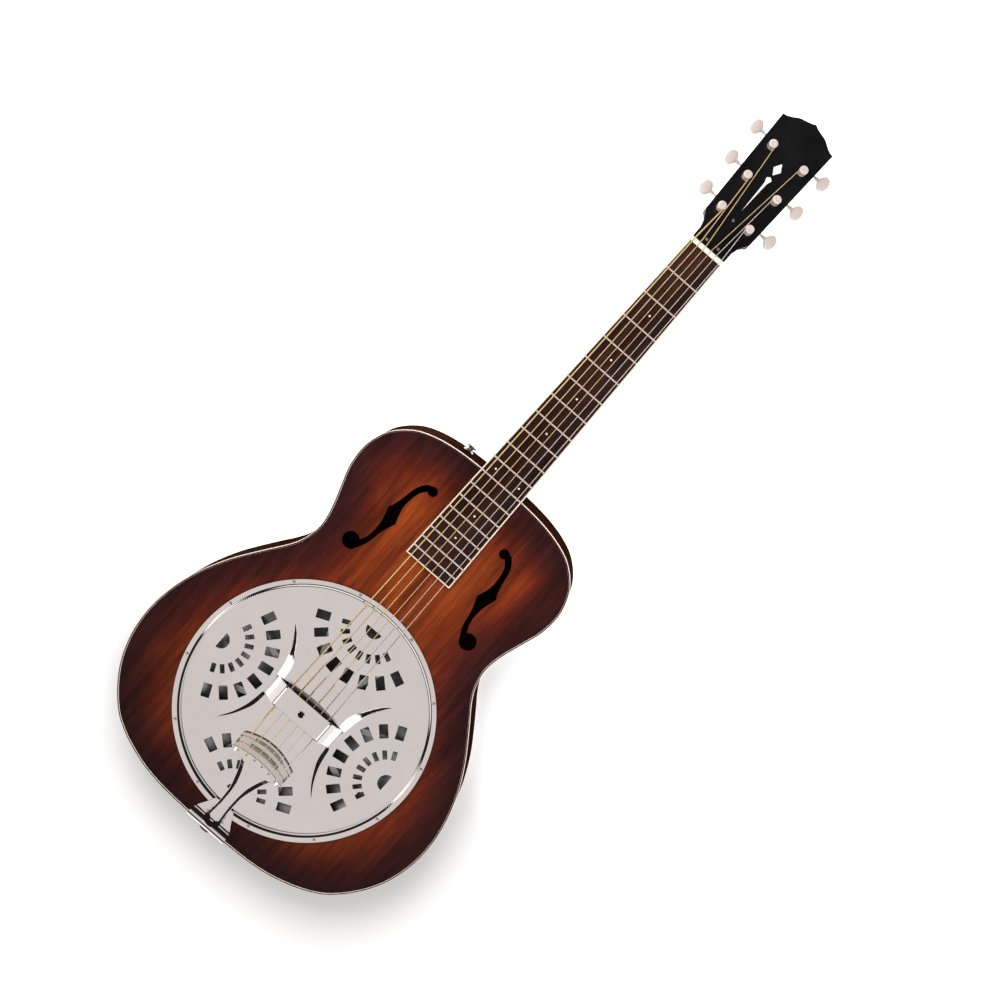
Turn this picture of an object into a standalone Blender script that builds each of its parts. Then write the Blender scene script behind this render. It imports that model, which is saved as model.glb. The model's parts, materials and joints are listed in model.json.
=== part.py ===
"""Spider-bridge resonator guitar lying on its back.

Metres. +Z points out of the soundboard, +Y towards the head and +X to the treble side. The origin is on
the back's outer face, straight under the centre of the coverplate, where the saddle stands.
"""

import math

import bmesh
import bpy
from mathutils import Matrix, Vector

# Driving dimensions
SCALE_LENGTH = 0.643  # nut face to saddle
BODY_DEPTH = 0.088  # back face to soundboard face
GAP = 0.0003  # clearance between pieces that touch
TOP_THICK = 0.0035
BACK_THICK = 0.003
SIDE_THICK = 0.0024
BINDING_WIDE = 0.002
BINDING_TALL = 0.005
LINING_WIDE = 0.006
LINING_TALL = 0.014
BLOCK_HALF = 0.036  # half width of the neck and tail blocks
COVER_R = 0.1418
WELL_R = 0.135  # hole in the soundboard
SIDE_SEAM = 0.0002  # half the seam between the two sides

TOP = BODY_DEPTH
BELLY = TOP - TOP_THICK - GAP  # highest point of what sits under the soundboard
FLOOR = BACK_THICK + GAP  # lowest point of what stands on the back

# Half of the body's outer edge, from the tail round the treble side to the neck joint
HALF_OUTLINE = [
    (0.0, -0.166),
    (0.060, -0.1645),
    (0.1045, -0.156),
    (0.1465, -0.136),
    (0.177, -0.101),
    (0.192, -0.066),
    (0.1968, -0.030),
    (0.193, 0.005),
    (0.182, 0.040),
    (0.164, 0.0745),
    (0.140, 0.109),
    (0.123, 0.1345),
    (0.1164, 0.163),
    (0.1224, 0.193),
    (0.1338, 0.227),
    (0.1367, 0.252),
    (0.1334, 0.271),
    (0.1245, 0.2885),
    (0.1045, 0.306),
    (0.076, 0.316),
    (0.042, 0.3204),
    (0.0, 0.3215),
]
EDGE_STEPS = 2  # outline points made between two given ones

# Fretboard, strings and nut
FRETS = 19
BOARD_END = 0.2026
BOARD_HALF_END = 0.0301
BOARD_HALF_NUT = 0.0213
BOARD_BINDING = 0.0015
BOARD_THICK = 0.0064
NUT_LONG = 0.0057
NUT_TALL = 0.0085
BOARD_FACE = TOP + GAP + BOARD_THICK
STRING_R = [0.00040, 0.00040, 0.00040, 0.00045, 0.00055, 0.00070]  # first to sixth
NUT_SPREAD = 0.036
SADDLE_SPREAD = 0.052
STRING_Z_NUT = TOP + 0.0098
STRING_Z_SADDLE = TOP + 0.0136

# Headstock, in its own frame: X across, Y along, Z out of its face
HEAD_TILT = math.radians(14)
HEAD_START = SCALE_LENGTH + GAP + NUT_LONG
HEAD_FRAME = Matrix.Translation((0, HEAD_START, TOP)) @ Matrix.Rotation(-HEAD_TILT, 4, "X")
VENEER_THICK = 0.0015
HEAD_BACK = -0.015
HALF_HEAD = [
    (0.0213, 0.0006),
    (0.0214, 0.0125),
    (0.0234, 0.0205),
    (0.0274, 0.0268),
    (0.0299, 0.031),
    (0.0344, 0.1628),
    (0.029, 0.164),
    (0.0225, 0.1677),
    (0.0176, 0.1708),
    (0.0114, 0.1726),
    (0.0045, 0.1746),
    (0.0, 0.1768),
]

# Tuners
POST_ROWS = [(0.0189, 0.0415), (0.0199, 0.0844), (0.0209, 0.1273)]  # across and along, for each row
POST_R = 0.003
POST_HOLE_R = 0.0043
BUSHING_HOLE_R = 0.0053
WORM_OFFSET = 0.0118  # from the post's axis to the worm's, along the head
WORM_DEPTH = -0.020
GEAR_TEETH = 14
GEAR_R = 0.0077
SHAFT_R = 0.002

# Tail
PIN_HEIGHT = 0.044
TAIL_X = 0.0024  # the end pin and the tailpiece sit a little to the treble side
TAIL_Y = -0.166
BUTTON_SPOT = (-0.0508, 0.3205, 0.043)

LOOKS = {
    "sunburst_mahogany": ((0.30, 0.08, 0.03), 0.25, 0.0),
    "dark_mahogany": ((0.07, 0.02, 0.012), 0.3, 0.0),
    "raw_wood": ((0.45, 0.28, 0.15), 0.7, 0.0),
    "cream_plastic": ((0.80, 0.72, 0.58), 0.35, 0.0),
    "rosewood": ((0.06, 0.028, 0.02), 0.5, 0.0),
    "black_lacquer": ((0.008, 0.008, 0.009), 0.2, 0.0),
    "chrome": ((0.80, 0.79, 0.78), 0.08, 1.0),
    "nickel": ((0.72, 0.69, 0.66), 0.2, 1.0),
    "spun_aluminium": ((0.70, 0.71, 0.73), 0.3, 1.0),
    "steel": ((0.55, 0.55, 0.56), 0.3, 1.0),
    "bronze": ((0.72, 0.45, 0.22), 0.3, 1.0),
    "bone": ((0.86, 0.82, 0.72), 0.4, 0.0),
    "maple": ((0.65, 0.48, 0.30), 0.5, 0.0),
}


def clear_scene():
    for item in list(bpy.data.objects):
        bpy.data.objects.remove(item, do_unlink=True)


def look(name):
    """The Principled material of this name, made once."""
    found = bpy.data.materials.get(name)
    if found:
        return found
    colour, roughness, metallic = LOOKS[name]
    made = bpy.data.materials.new(name)
    made.use_nodes = True
    shader = made.node_tree.nodes["Principled BSDF"]
    shader.inputs["Base Color"].default_value = (*colour, 1.0)
    shader.inputs["Roughness"].default_value = roughness
    shader.inputs["Metallic"].default_value = metallic
    return made


def add_object(name, data, finish, place=None):
    """A new object for a mesh or curve."""
    made = bpy.data.objects.new(name, data)
    bpy.context.scene.collection.objects.link(made)
    if not data.materials:
        data.materials.append(look(finish))
    if place is not None:
        made.matrix_world = place
    return made


def mesh_from(build, name):
    """Turns a closed bmesh into mesh data with its faces pointing out. Edges over 35 degrees stay sharp."""
    bmesh.ops.recalc_face_normals(build, faces=build.faces)
    data = bpy.data.meshes.new(name)
    build.to_mesh(data)
    build.free()
    data.shade_smooth()
    data.set_sharp_from_angle(angle=math.radians(35))
    return data


def plate_mesh(name, loops, low, high):
    """A flat plate between two heights. The first loop is its edge and the others are holes."""
    build = bmesh.new()
    rims = []
    for loop in loops:
        ring = [build.verts.new((x, y, low)) for x, y in loop]
        rims += [build.edges.new(pair) for pair in zip(ring, ring[1:] + ring[:1])]
    bmesh.ops.triangle_fill(build, use_beauty=True, edges=rims)
    lower_faces = list(build.faces)
    upper = {v: build.verts.new((v.co.x, v.co.y, high)) for v in list(build.verts)}
    walls = [tuple(rim.verts) for rim in rims]
    for face in lower_faces:
        build.faces.new([upper[v] for v in reversed(face.verts)])
    for a, b in walls:
        build.faces.new((a, b, upper[b], upper[a]))
    return mesh_from(build, name)


def loft_mesh(name, rings):
    """A skin over rings with equal numbers of points, capped at both ends."""
    build = bmesh.new()
    made = [[build.verts.new(point) for point in ring] for ring in rings]
    for first, second in zip(made, made[1:]):
        for i, corner in enumerate(first):
            after = (i + 1) % len(first)
            build.faces.new((corner, first[after], second[after], second[i]))
    build.faces.new(made[0])
    build.faces.new(made[-1])
    bmesh.ops.triangulate(build, faces=build.faces)
    return mesh_from(build, name)


def turned_mesh(name, profile, steps, axis="Z"):
    """(radius, height) points spun about an axis. It closes on the axis, or on its own first point."""
    build = bmesh.new()
    rings = []
    for radius, height in profile:
        count = 1 if radius == 0 else steps
        angles = [2 * math.pi * i / steps for i in range(count)]
        spots = [(radius * math.cos(t), radius * math.sin(t), height) for t in angles]
        rings.append([build.verts.new(spot) for spot in spots])
    on_axis = profile[0][0] == 0
    for low, high in zip(rings, rings[1:] if on_axis else rings[1:] + rings[:1]):
        for i in range(steps):
            j = (i + 1) % steps
            corners = [low[i % len(low)], low[j % len(low)], high[j % len(high)], high[i % len(high)]]
            build.faces.new(list(dict.fromkeys(corners)))
    turn = {"Z": 0.0, "Y": -math.pi / 2, "-Y": math.pi / 2}
    if axis == "X":
        bmesh.ops.rotate(build, matrix=Matrix.Rotation(math.pi / 2, 3, "Y"), verts=build.verts)
    else:
        bmesh.ops.rotate(build, matrix=Matrix.Rotation(turn[axis], 3, "X"), verts=build.verts)
    return mesh_from(build, name)


def boxes_mesh(name, boxes):
    """Separate boxes in one mesh, each given as (matrix, size)."""
    build = bmesh.new()
    for place, size in boxes:
        bmesh.ops.create_cube(build, size=1.0, matrix=place @ Matrix.Diagonal((*size, 1.0)))
    return mesh_from(build, name)


def box_between(low, high):
    centre = [(a + b) / 2 for a, b in zip(low, high)]
    return Matrix.Translation(centre), [b - a for a, b in zip(low, high)]


def box_piece(name, low, high, finish):
    return add_object(name, boxes_mesh(name, [box_between(low, high)]), finish)


def helper(name, data, place=None):
    """An object that only cuts or joins: it is drawn as wire and never rendered."""
    made = add_object(name, data, "steel", place)
    made.hide_render = True
    made.display_type = "WIRE"
    return made


def combine(target, other, operation):
    step = target.modifiers.new(other.name, "BOOLEAN")
    step.solver = "EXACT"
    step.operation = operation
    step.object = other


def combined_mesh(name, base, others, operation="UNION"):
    """One mesh from several, for shapes that repeated objects share."""
    template = helper("shape_" + name, base)
    for i, data in enumerate(others):
        combine(template, helper(f"shape_{name}_{i}", data), operation)
    graph = bpy.context.evaluated_depsgraph_get()
    data = bpy.data.meshes.new_from_object(template.evaluated_get(graph))
    data.materials.clear()
    return data


def spline(points, steps):
    """A smooth curve through the points, which starts and ends on the first and the last."""
    result = []
    for i in range(len(points) - 1):
        p0 = points[i - 1] if i else (-points[1][0], points[1][1])
        p3 = points[i + 2] if i + 2 < len(points) else (-points[i][0], points[i][1])
        p1, p2 = points[i], points[i + 1]
        for k in range(steps):
            t = k / steps
            weights = (
                (-(t**3) + 2 * t**2 - t) / 2,
                (3 * t**3 - 5 * t**2 + 2) / 2,
                (-3 * t**3 + 4 * t**2 + t) / 2,
                (t**3 - t**2) / 2,
            )
            result.append(tuple(sum(w * p[n] for w, p in zip(weights, (p0, p1, p2, p3))) for n in (0, 1)))
    return result + [points[-1]]


def mirrored(half):
    """A closed loop from a half that starts and ends on the middle line, or starts beside it."""
    back = [(-x, y) for x, y in reversed(half) if x > 0]
    return list(half) + back


def half_edge(inset):
    """Half the body's edge moved inwards by inset."""
    base = spline(HALF_OUTLINE, EDGE_STEPS)
    moved = []
    for i, (x, y) in enumerate(base):
        before = base[i - 1] if i else (-base[1][0], base[1][1])
        after = base[i + 1] if i + 1 < len(base) else (-base[-2][0], base[-2][1])
        along = Vector((after[0] - before[0], after[1] - before[1])).normalized()
        moved.append((x - inset * along.y, y + inset * along.x))
    return moved


def edge_strip(outer, inner, side, keep):
    """The strip between two insets on one side, at the points where keep(x) holds."""
    base = half_edge(0)
    pairs = [(a, b) for a, b, (x, y) in zip(half_edge(outer), half_edge(inner), base) if keep(x)]
    loop = [a for a, b in pairs] + [b for a, b in reversed(pairs)]
    return [(side * max(x, SIDE_SEAM), y) for x, y in loop]


def half_width_at(y):
    """Half the body's width at y, between the outline's points."""
    base = spline(HALF_OUTLINE, EDGE_STEPS)
    for (x0, y0), (x1, y1) in zip(base, base[1:]):
        if min(y0, y1) <= y <= max(y0, y1):
            return x0 + (x1 - x0) * (y - y0) / (y1 - y0)
    return 0.0


def circle(radius, steps, centre=(0.0, 0.0)):
    angles = [2 * math.pi * i / steps for i in range(steps)]
    return [(centre[0] + radius * math.cos(t), centre[1] + radius * math.sin(t)) for t in angles]


def arc(centre, radius, start, stop, steps):
    """Points on an arc, in degrees from +X."""
    angles = [math.radians(start + (stop - start) * i / steps) for i in range(steps + 1)]
    return [(centre[0] + radius * math.cos(t), centre[1] + radius * math.sin(t)) for t in angles]


# Soundboard, back and sides


def f_hole(side):
    """One sound hole: two round eyes joined by a stem with a notch on each edge."""
    outer_stem = [
        (0.0587, 0.2702),
        (0.0642, 0.263),
        (0.0674, 0.254),
        (0.0692, 0.2433),
        (0.0724, 0.2316),
        (0.0752, 0.2253),
        (0.0729, 0.2172),
        (0.0706, 0.2073),
        (0.0701, 0.1956),
        (0.0715, 0.1866),
    ]
    inner_stem = [
        (0.0679, 0.1785),
        (0.0656, 0.1866),
        (0.0642, 0.1956),
        (0.0614, 0.2055),
        (0.0573, 0.2158),
        (0.0614, 0.228),
        (0.0628, 0.237),
        (0.0619, 0.2487),
        (0.0596, 0.2577),
    ]
    upper_eye = arc((0.050, 0.268), 0.0055, -42, -280, 10)
    lower_eye = arc((0.082, 0.172), 0.0095, 136, -149, 12)
    loop = upper_eye + outer_stem + lower_eye + inner_stem
    return [(side * x, y) for x, y in loop]


def make_box():
    edge = mirrored(half_edge(BINDING_WIDE + GAP))
    top_loops = [edge, circle(WELL_R, 56), f_hole(1), f_hole(-1)]
    top_mesh = plate_mesh("top_plate", top_loops, TOP - TOP_THICK, TOP)
    add_object("top_plate", top_mesh, "sunburst_mahogany")
    add_object("back_plate", plate_mesh("back_plate", [edge], 0, BACK_THICK), "dark_mahogany")
    rims = [mirrored(half_edge(0)), mirrored(half_edge(BINDING_WIDE))]
    add_object("top_binding", plate_mesh("top_binding", rims, TOP - BINDING_TALL, TOP), "cream_plastic")
    add_object("back_binding", plate_mesh("back_binding", rims, 0, BINDING_TALL), "cream_plastic")
    pin_hole = helper(
        "pin_hole",
        turned_mesh("pin_hole", [(0, 0), (0.0046, 0), (0.0046, 0.0345), (0, 0.0345)], 16, "-Y"),
        Matrix.Translation((TAIL_X, TAIL_Y + 0.0172, PIN_HEIGHT)),
    )
    lining_in = SIDE_THICK + GAP
    for side, word in ((-1, "bass"), (1, "treble")):
        wall = edge_strip(0, SIDE_THICK, side, lambda x: True)
        low, high = BINDING_TALL + GAP, TOP - BINDING_TALL - GAP
        wall_piece = add_object(f"{word}_side", plate_mesh("side", [wall], low, high), "dark_mahogany")
        combine(wall_piece, pin_hole, "DIFFERENCE")
        strip = edge_strip(lining_in, lining_in + LINING_WIDE, side, lambda x: x > BLOCK_HALF + 0.008)
        upper = plate_mesh("lining", [strip], BELLY - LINING_TALL, BELLY)
        lower = plate_mesh("lining", [strip], FLOOR, FLOOR + LINING_TALL)
        add_object(f"{word}_top_lining", upper, "raw_wood")
        add_object(f"{word}_back_lining", lower, "raw_wood")
    box_piece("neck_block", (-BLOCK_HALF, 0.274, FLOOR), (BLOCK_HALF, 0.3178, BELLY), "raw_wood")
    tail = box_piece("tail_block", (-BLOCK_HALF, -0.1624, FLOOR), (BLOCK_HALF, -0.1435, BELLY), "raw_wood")
    combine(tail, pin_hole, "DIFFERENCE")
    for word, y in (("upper", 0.225), ("middle", 0.105), ("lower", -0.055)):
        half = half_width_at(y) - SIDE_THICK - LINING_WIDE - 0.006
        brace = f"{word}_back_brace"
        box_piece(brace, (-half, y - 0.004, FLOOR), (half, y + 0.004, FLOOR + 0.013), "raw_wood")


# Resonator: well, cone, spider, saddles and coverplate

CONE_TOP = [
    (0.1342, -0.0087),
    (0.1285, -0.0087),
    (0.1255, -0.0115),
    (0.090, -0.0230),
    (0.045, -0.0340),
    (0.028, -0.0335),
    (0.012, -0.024),
    (0.0, -0.0185),
]
CONE_THICK = 0.001
COVER_TOP = [
    (COVER_R, 0.0013),
    (0.1378, 0.0014),
    (0.1362, 0.0030),
    (0.1335, 0.0031),
    (0.1315, 0.0015),
    (0.127, 0.0028),
    (0.100, 0.0053),
    (0.055, 0.0070),
    (0.0, 0.0075),
]
COVER_THICK = 0.001
FAN_R = 0.1165  # from the plate's centre to each fan's centre
FAN_PITCH = math.radians(18.75)
FAN_SLOTS = 8
FAN_RINGS = [(0.0567, 0.0154, 0.0098), (0.0311, 0.0100, 0.0052)]  # radius, length, width


def shell_profile(top, thick):
    """A closed wall of this thickness under a top profile that ends on the axis."""
    under = [(r, z - thick) for r, z in reversed(top)]
    return list(reversed(top)) + list(reversed(under))


def fan_cutters():
    """Boxes for the slots of all four fans, and the round hole at the root of each."""
    slots = []
    for quarter in range(4):
        turn = Matrix.Rotation(quarter * math.pi / 2, 4, "Z")
        centre = turn @ Matrix.Translation((FAN_R, 0, TOP))
        for radius, length, width in FAN_RINGS:
            for i in range(FAN_SLOTS):
                angle = math.pi + (i - (FAN_SLOTS - 1) / 2) * FAN_PITCH
                place = centre @ Matrix.Rotation(angle, 4, "Z") @ Matrix.Translation((radius, 0, 0))
                slots.append((place, (length, width, 0.03)))
    return slots


def half_moon(quarter):
    """The hole at a fan's root, flat on the side of the plate's rim."""
    turn = Matrix.Rotation(quarter * math.pi / 2, 4, "Z")
    points = arc((FAN_R, 0), 0.0095, 90, 270, 8)
    return [tuple((turn @ Vector((x, y, 0)))[:2]) for x, y in points]


def make_resonator():
    well = [
        (WELL_R + 0.0002, BELLY),
        (0.1408, BELLY),
        (0.1408, TOP - 0.020),
        (0.1298, TOP - 0.020),
        (0.1298, TOP - 0.010),
        (WELL_R + 0.0002, TOP - 0.010),
    ]
    add_object("soundwell_ring", turned_mesh("soundwell_ring", well, 40), "raw_wood")
    at_top = Matrix.Translation((0, 0, TOP))
    cone = turned_mesh("resonator_cone", shell_profile(CONE_TOP, CONE_THICK), 32)
    add_object("resonator_cone", cone, "spun_aluminium", at_top)
    make_spider()
    cover_mesh = turned_mesh("coverplate", shell_profile(COVER_TOP, COVER_THICK), 40)
    cover = add_object("coverplate", cover_mesh, "chrome", at_top)
    combine(cover, helper("cut_fan_slots", boxes_mesh("cut_fan_slots", fan_cutters())), "DIFFERENCE")
    for quarter in range(4):
        moon = plate_mesh("cut_moon", [half_moon(quarter)], TOP - 0.01, TOP + 0.02)
        combine(cover, helper(f"cut_moon_{quarter}", moon), "DIFFERENCE")
    # The throat is straight behind and bowed in front
    throat_half = [(0, 0.0184), (0.013, 0.0180), (0.026, 0.0164), (0.041, 0.0134), (0.041, -0.0122)]
    throat = plate_mesh("cut_throat", [mirrored(throat_half)], TOP - 0.01, TOP + 0.02)
    combine(cover, helper("cut_throat", throat), "DIFFERENCE")
    strap = [(0.049, 0.0089), (0.0436, 0.0089), (0.040, 0.013), (0.0355, 0.0185), (0.030, 0.0222)]
    under = [(0.0295, 0.0210), (0.0346, 0.0175), (0.039, 0.012), (0.0429, 0.0077), (0.049, 0.0077)]
    upper_line = [(-x, z) for x, z in strap] + list(reversed(strap))
    lower_line = under[::-1] + [(-x, z) for x, z in under]
    rings = [[(x, y, TOP + z) for x, z in upper_line + lower_line] for y in (-0.0118, 0.0135)]
    rest = add_object("hand_rest", loft_mesh("hand_rest", rings), "chrome")
    access = turned_mesh("cut_access", [(0, 0), (0.003, 0), (0.003, 0.03), (0, 0.03)], 16)
    combine(rest, helper("cut_access", access, at_top), "DIFFERENCE")


def make_spider():
    """Cast web: a round hub whose eight legs drop to the cone's rim."""
    sides, hub_r, hub_low, hub_high = 16, 0.033, -0.0005, 0.003
    build = bmesh.new()
    start = math.pi / sides
    rim_angles = [start + i * 2 * start for i in range(sides)]
    rim = [(hub_r * math.cos(a), hub_r * math.sin(a)) for a in rim_angles]
    low = [build.verts.new((x, y, hub_low)) for x, y in rim]
    high = [build.verts.new((x, y, hub_high)) for x, y in rim]
    build.faces.new(low)
    build.faces.new(high)
    # Leg sections: radius, half width, lower face, upper face
    leg = [(0.060, 0.0034, -0.0022, 0.0010), (0.100, 0.0028, -0.0058, -0.0028)]
    leg.append((0.127, 0.0026, -0.0084, -0.0054))
    for i in range(sides):
        j = (i + 1) % sides
        corners = [low[i], low[j], high[j], high[i]]
        if i % 2:
            build.faces.new(corners)
            continue
        middle = start * (2 * i + 2)
        out = Vector((math.cos(middle), math.sin(middle), 0))
        across = Vector((-out.y, out.x, 0))
        for radius, half, z_low, z_high in leg:
            spots = [(-half, z_low), (half, z_low), (half, z_high), (-half, z_high)]
            following = [build.verts.new(out * radius + across * s + Vector((0, 0, z))) for s, z in spots]
            for k in range(4):
                m = (k + 1) % 4
                build.faces.new((corners[k], corners[m], following[m], following[k]))
            corners = following
        build.faces.new(corners)
    at_top = Matrix.Translation((0, 0, TOP))
    spider = add_object("spider_bridge", mesh_from(build, "spider_bridge"), "spun_aluminium", at_top)
    bore = turned_mesh("cut_screw_bore", [(0, -0.01), (0.0024, -0.01), (0.0024, 0.01), (0, 0.01)], 12)
    combine(spider, helper("cut_screw_bore", bore, at_top), "DIFFERENCE")
    screw = [(0, -0.0180), (SHAFT_R, -0.0180), (SHAFT_R, hub_high + GAP), (0.0033, hub_high + GAP)]
    screw += [(0.0033, 0.0055), (0.0026, 0.0062), (0, 0.0062)]
    add_object("tension_screw", turned_mesh("tension_screw", screw, 12), "nickel", at_top)
    for word, x0, x1 in (("bass", -0.029, -0.0042), ("treble", 0.0042, 0.029)):
        z1 = STRING_Z_SADDLE - STRING_R[5] - GAP
        box_piece(f"{word}_saddle", (x0, -0.0025, TOP + hub_high + GAP), (x1, 0.0025, z1), "maple")


# Neck, fretboard and headstock


def board_half(y):
    """Half the fretboard's width at y, bindings included."""
    share = (y - BOARD_END) / (SCALE_LENGTH - BOARD_END)
    return BOARD_HALF_END + (BOARD_HALF_NUT - BOARD_HALF_END) * share


# Half cross-sections of the neck, as shares of its half width and depth
SHAFT_SHAPE = [(1, 0), (0.97, 0.25), (0.88, 0.48), (0.74, 0.67), (0.56, 0.83), (0.36, 0.93)]
SHAFT_SHAPE += [(0.18, 0.985), (0, 1)]
HEEL_SHAPE = [(1, 0), (0.84, 0.12), (0.69, 0.28), (0.57, 0.47), (0.48, 0.68), (0.42, 0.88)]
HEEL_SHAPE += [(0.37, 1), (0, 1)]
HEAD_SHAPE = [(1, 0), (1, 0.25), (1, 0.5), (1, 0.75), (1, 0.93), (0.93, 1), (0.5, 1), (0, 1)]


def neck_ring(half, depth, shape, share, place, top=0.0):
    """One cross-section: the round shaft's shape, blended by share with another."""
    mix = [tuple(a + (b - a) * share for a, b in zip(p, q)) for p, q in zip(SHAFT_SHAPE, shape)]
    right = [(half * w, top - depth * d) for w, d in mix]
    outline = right + [(-x, z) for x, z in reversed(right[:-1])]
    return [place @ Vector((x, 0, z)) for x, z in outline]


def make_neck():
    heel_end = HALF_OUTLINE[-1][1] + GAP
    # Distance from the body, depth and share of the heel's shape
    heel = [(0, 0.072, 1), (0.008, 0.060, 0.95), (0.016, 0.044, 0.8), (0.026, 0.031, 0.55)]
    heel.append((0.038, 0.022, 0.25))
    shaft = [(0.054, 0.0178, 0), (0.110, 0.0168, 0), (0.220, 0.0156, 0), (0.3275, 0.0148, 0)]
    rings = []
    for out, depth, share in heel + shaft:
        y = min(heel_end + out, HEAD_START)
        place = Matrix.Translation((0, y, TOP))
        rings.append(neck_ring(board_half(min(y, SCALE_LENGTH)), depth, HEEL_SHAPE, share, place))
    # Along the head, half width and share of the head's square shape
    taper = [(0.0005, 0.0213, 0.1), (0.0125, 0.0214, 0.45), (0.0205, 0.0234, 0.75), (0.0268, 0.0274, 0.92)]
    taper += [(0.031, 0.0299, 1), (0.036, 0.0292, 1)]
    for along, half, share in taper:
        place = HEAD_FRAME @ Matrix.Translation((0, along, 0))
        top = -VENEER_THICK - GAP - (0.0004 if along > 0.032 else 0)
        depth = top - HEAD_BACK - (0.0004 if along > 0.032 else 0)
        rings.append(neck_ring(half, depth, HEAD_SHAPE, share, place, top))
    neck = add_object("neck", loft_mesh("neck", rings), "dark_mahogany")
    blank = [(0.0281, 0.028)] + [point for point in HALF_HEAD if point[1] > 0.028]
    holes = [circle(POST_HOLE_R, 16, (side * x, y)) for x, y in POST_ROWS for side in (-1, 1)]
    head_mesh = plate_mesh("head_wood", [mirrored(blank)] + holes, HEAD_BACK, -VENEER_THICK - GAP)
    combine(neck, helper("head_wood", head_mesh, HEAD_FRAME), "UNION")
    neck.modifiers.new("flat_faces", "TRIANGULATE")
    slot_box = box_between((-0.0033, 0.330, TOP - 0.009), (0.0033, 0.674, TOP + 0.02))
    rod_slot = helper("cut_rod_slot", boxes_mesh("cut_rod_slot", [slot_box]))
    combine(neck, rod_slot, "DIFFERENCE")
    face_holes = [circle(BUSHING_HOLE_R, 16, (side * x, y)) for x, y in POST_ROWS for side in (-1, 1)]
    face_mesh = plate_mesh("head_veneer", [mirrored(HALF_HEAD)] + face_holes, -VENEER_THICK, 0)
    veneer = add_object("head_veneer", face_mesh, "black_lacquer", HEAD_FRAME)
    combine(veneer, rod_slot, "DIFFERENCE")
    rod = turned_mesh("truss_rod", [(0, 0), (0.0028, 0), (0.0028, 0.317), (0, 0.317)], 12, "Y")
    add_object("truss_rod", rod, "steel", Matrix.Translation((0, 0.340, TOP - 0.0056)))
    bell = [(0.0095, 0.0025), (0.0105, 0.0065), (0.0088, 0.015), (0.0060, 0.0245), (0.0046, 0.034)]
    bell += arc((0, 0.0405), 0.0044, 0, 90, 4)
    cover = plate_mesh("truss_rod_cover", [mirrored(bell)], GAP, 0.0018)
    add_object("truss_rod_cover", cover, "black_lacquer", HEAD_FRAME)


def fret_y(number):
    return SCALE_LENGTH * 2 ** (-number / 12)


def make_fretboard():
    low, face = TOP + GAP, BOARD_FACE
    end, nut_y = BOARD_END, SCALE_LENGTH
    outer = [(board_half(y), y) for y in (nut_y, end)]
    inner = [(board_half(y) - BOARD_BINDING, y) for y in (nut_y, end + BOARD_BINDING)]
    trim = outer + [(-x, y) for x, y in outer[::-1]] + [(-x, y) for x, y in inner] + inner[::-1]
    add_object("fretboard_binding", plate_mesh("fretboard_binding", [trim], low, face), "cream_plastic")
    wood = [(x - GAP, max(y, end + BOARD_BINDING + GAP)) for x, y in inner]
    board = plate_mesh("fretboard", [wood + [(-x, y) for x, y in wood[::-1]]], low, face)
    board_piece = add_object("fretboard", board, "rosewood")
    places = [fret_y(n) for n in range(1, FRETS + 1)]
    slots = []
    for y in places:
        slots.append(box_between((-0.04, y - 0.0006, low + 0.0031), (0.04, y + 0.0006, face + 0.01)))
    combine(board_piece, helper("cut_fret_slots", boxes_mesh("cut_fret_slots", slots)), "DIFFERENCE")
    groove_box = box_between((-0.0016, 0.206, low - 0.001), (0.0016, 0.612, low + 0.0047))
    groove = helper("cut_groove", boxes_mesh("cut_groove", [groove_box]))
    combine(board_piece, groove, "DIFFERENCE")
    # A fret is a low rounded crown on a thin tang, and a strip in the board's groove carries them all
    crown = [(-0.0011, 0.0003), (-0.0009, 0.0008), (-0.0004, 0.0012), (0.0004, 0.0012), (0.0009, 0.0008)]
    crown += [(0.0011, 0.0003)]
    build = bmesh.new()
    for y in places:
        half = board_half(y) - 0.0006
        ends = [[build.verts.new((x, y + s, face + z)) for s, z in crown] for x in (-half, half)]
        for i in range(len(crown)):
            j = (i + 1) % len(crown)
            build.faces.new((ends[0][i], ends[0][j], ends[1][j], ends[1][i]))
        build.faces.new(ends[0])
        build.faces.new(ends[1])
    frets = add_object("frets", mesh_from(build, "frets"), "nickel")
    tangs = []
    for y in places:
        half = board_half(y) - BOARD_BINDING - 2 * GAP
        tangs.append(box_between((-half, y - 0.0003, low + 0.0036), (half, y + 0.0003, face + 0.0006)))
    combine(frets, helper("join_tangs", boxes_mesh("join_tangs", tangs)), "UNION")
    strip_box = box_between((-0.0012, 0.210, low + 0.0008), (0.0012, 0.609, low + 0.0042))
    combine(frets, helper("join_strip", boxes_mesh("join_strip", [strip_box])), "UNION")
    half = BOARD_HALF_NUT
    y0, y1 = nut_y + GAP, nut_y + GAP + NUT_LONG - GAP
    side_view = [(y0, low), (y1, low), (y1, TOP + NUT_TALL - 0.0012)]
    side_view += [(y1 - 0.0012, TOP + NUT_TALL - 0.0004)]
    side_view += [(y0 + 0.0003, TOP + NUT_TALL), (y0, TOP + NUT_TALL - 0.0002)]
    rings = [[(x, y, z) for y, z in side_view] for x in (-half, half)]
    add_object("nut", loft_mesh("nut", rings), "bone")


# Strings and tailpiece

BAR_LOW = TOP + 0.0089
BAR_HIGH = TOP + 0.0112
BAR_HALF = 0.034


def bar_front(x):
    return -0.0480 - x * x * 8.0


def bar_rear(x):
    return -0.0715 - x * x * 4.5


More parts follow.
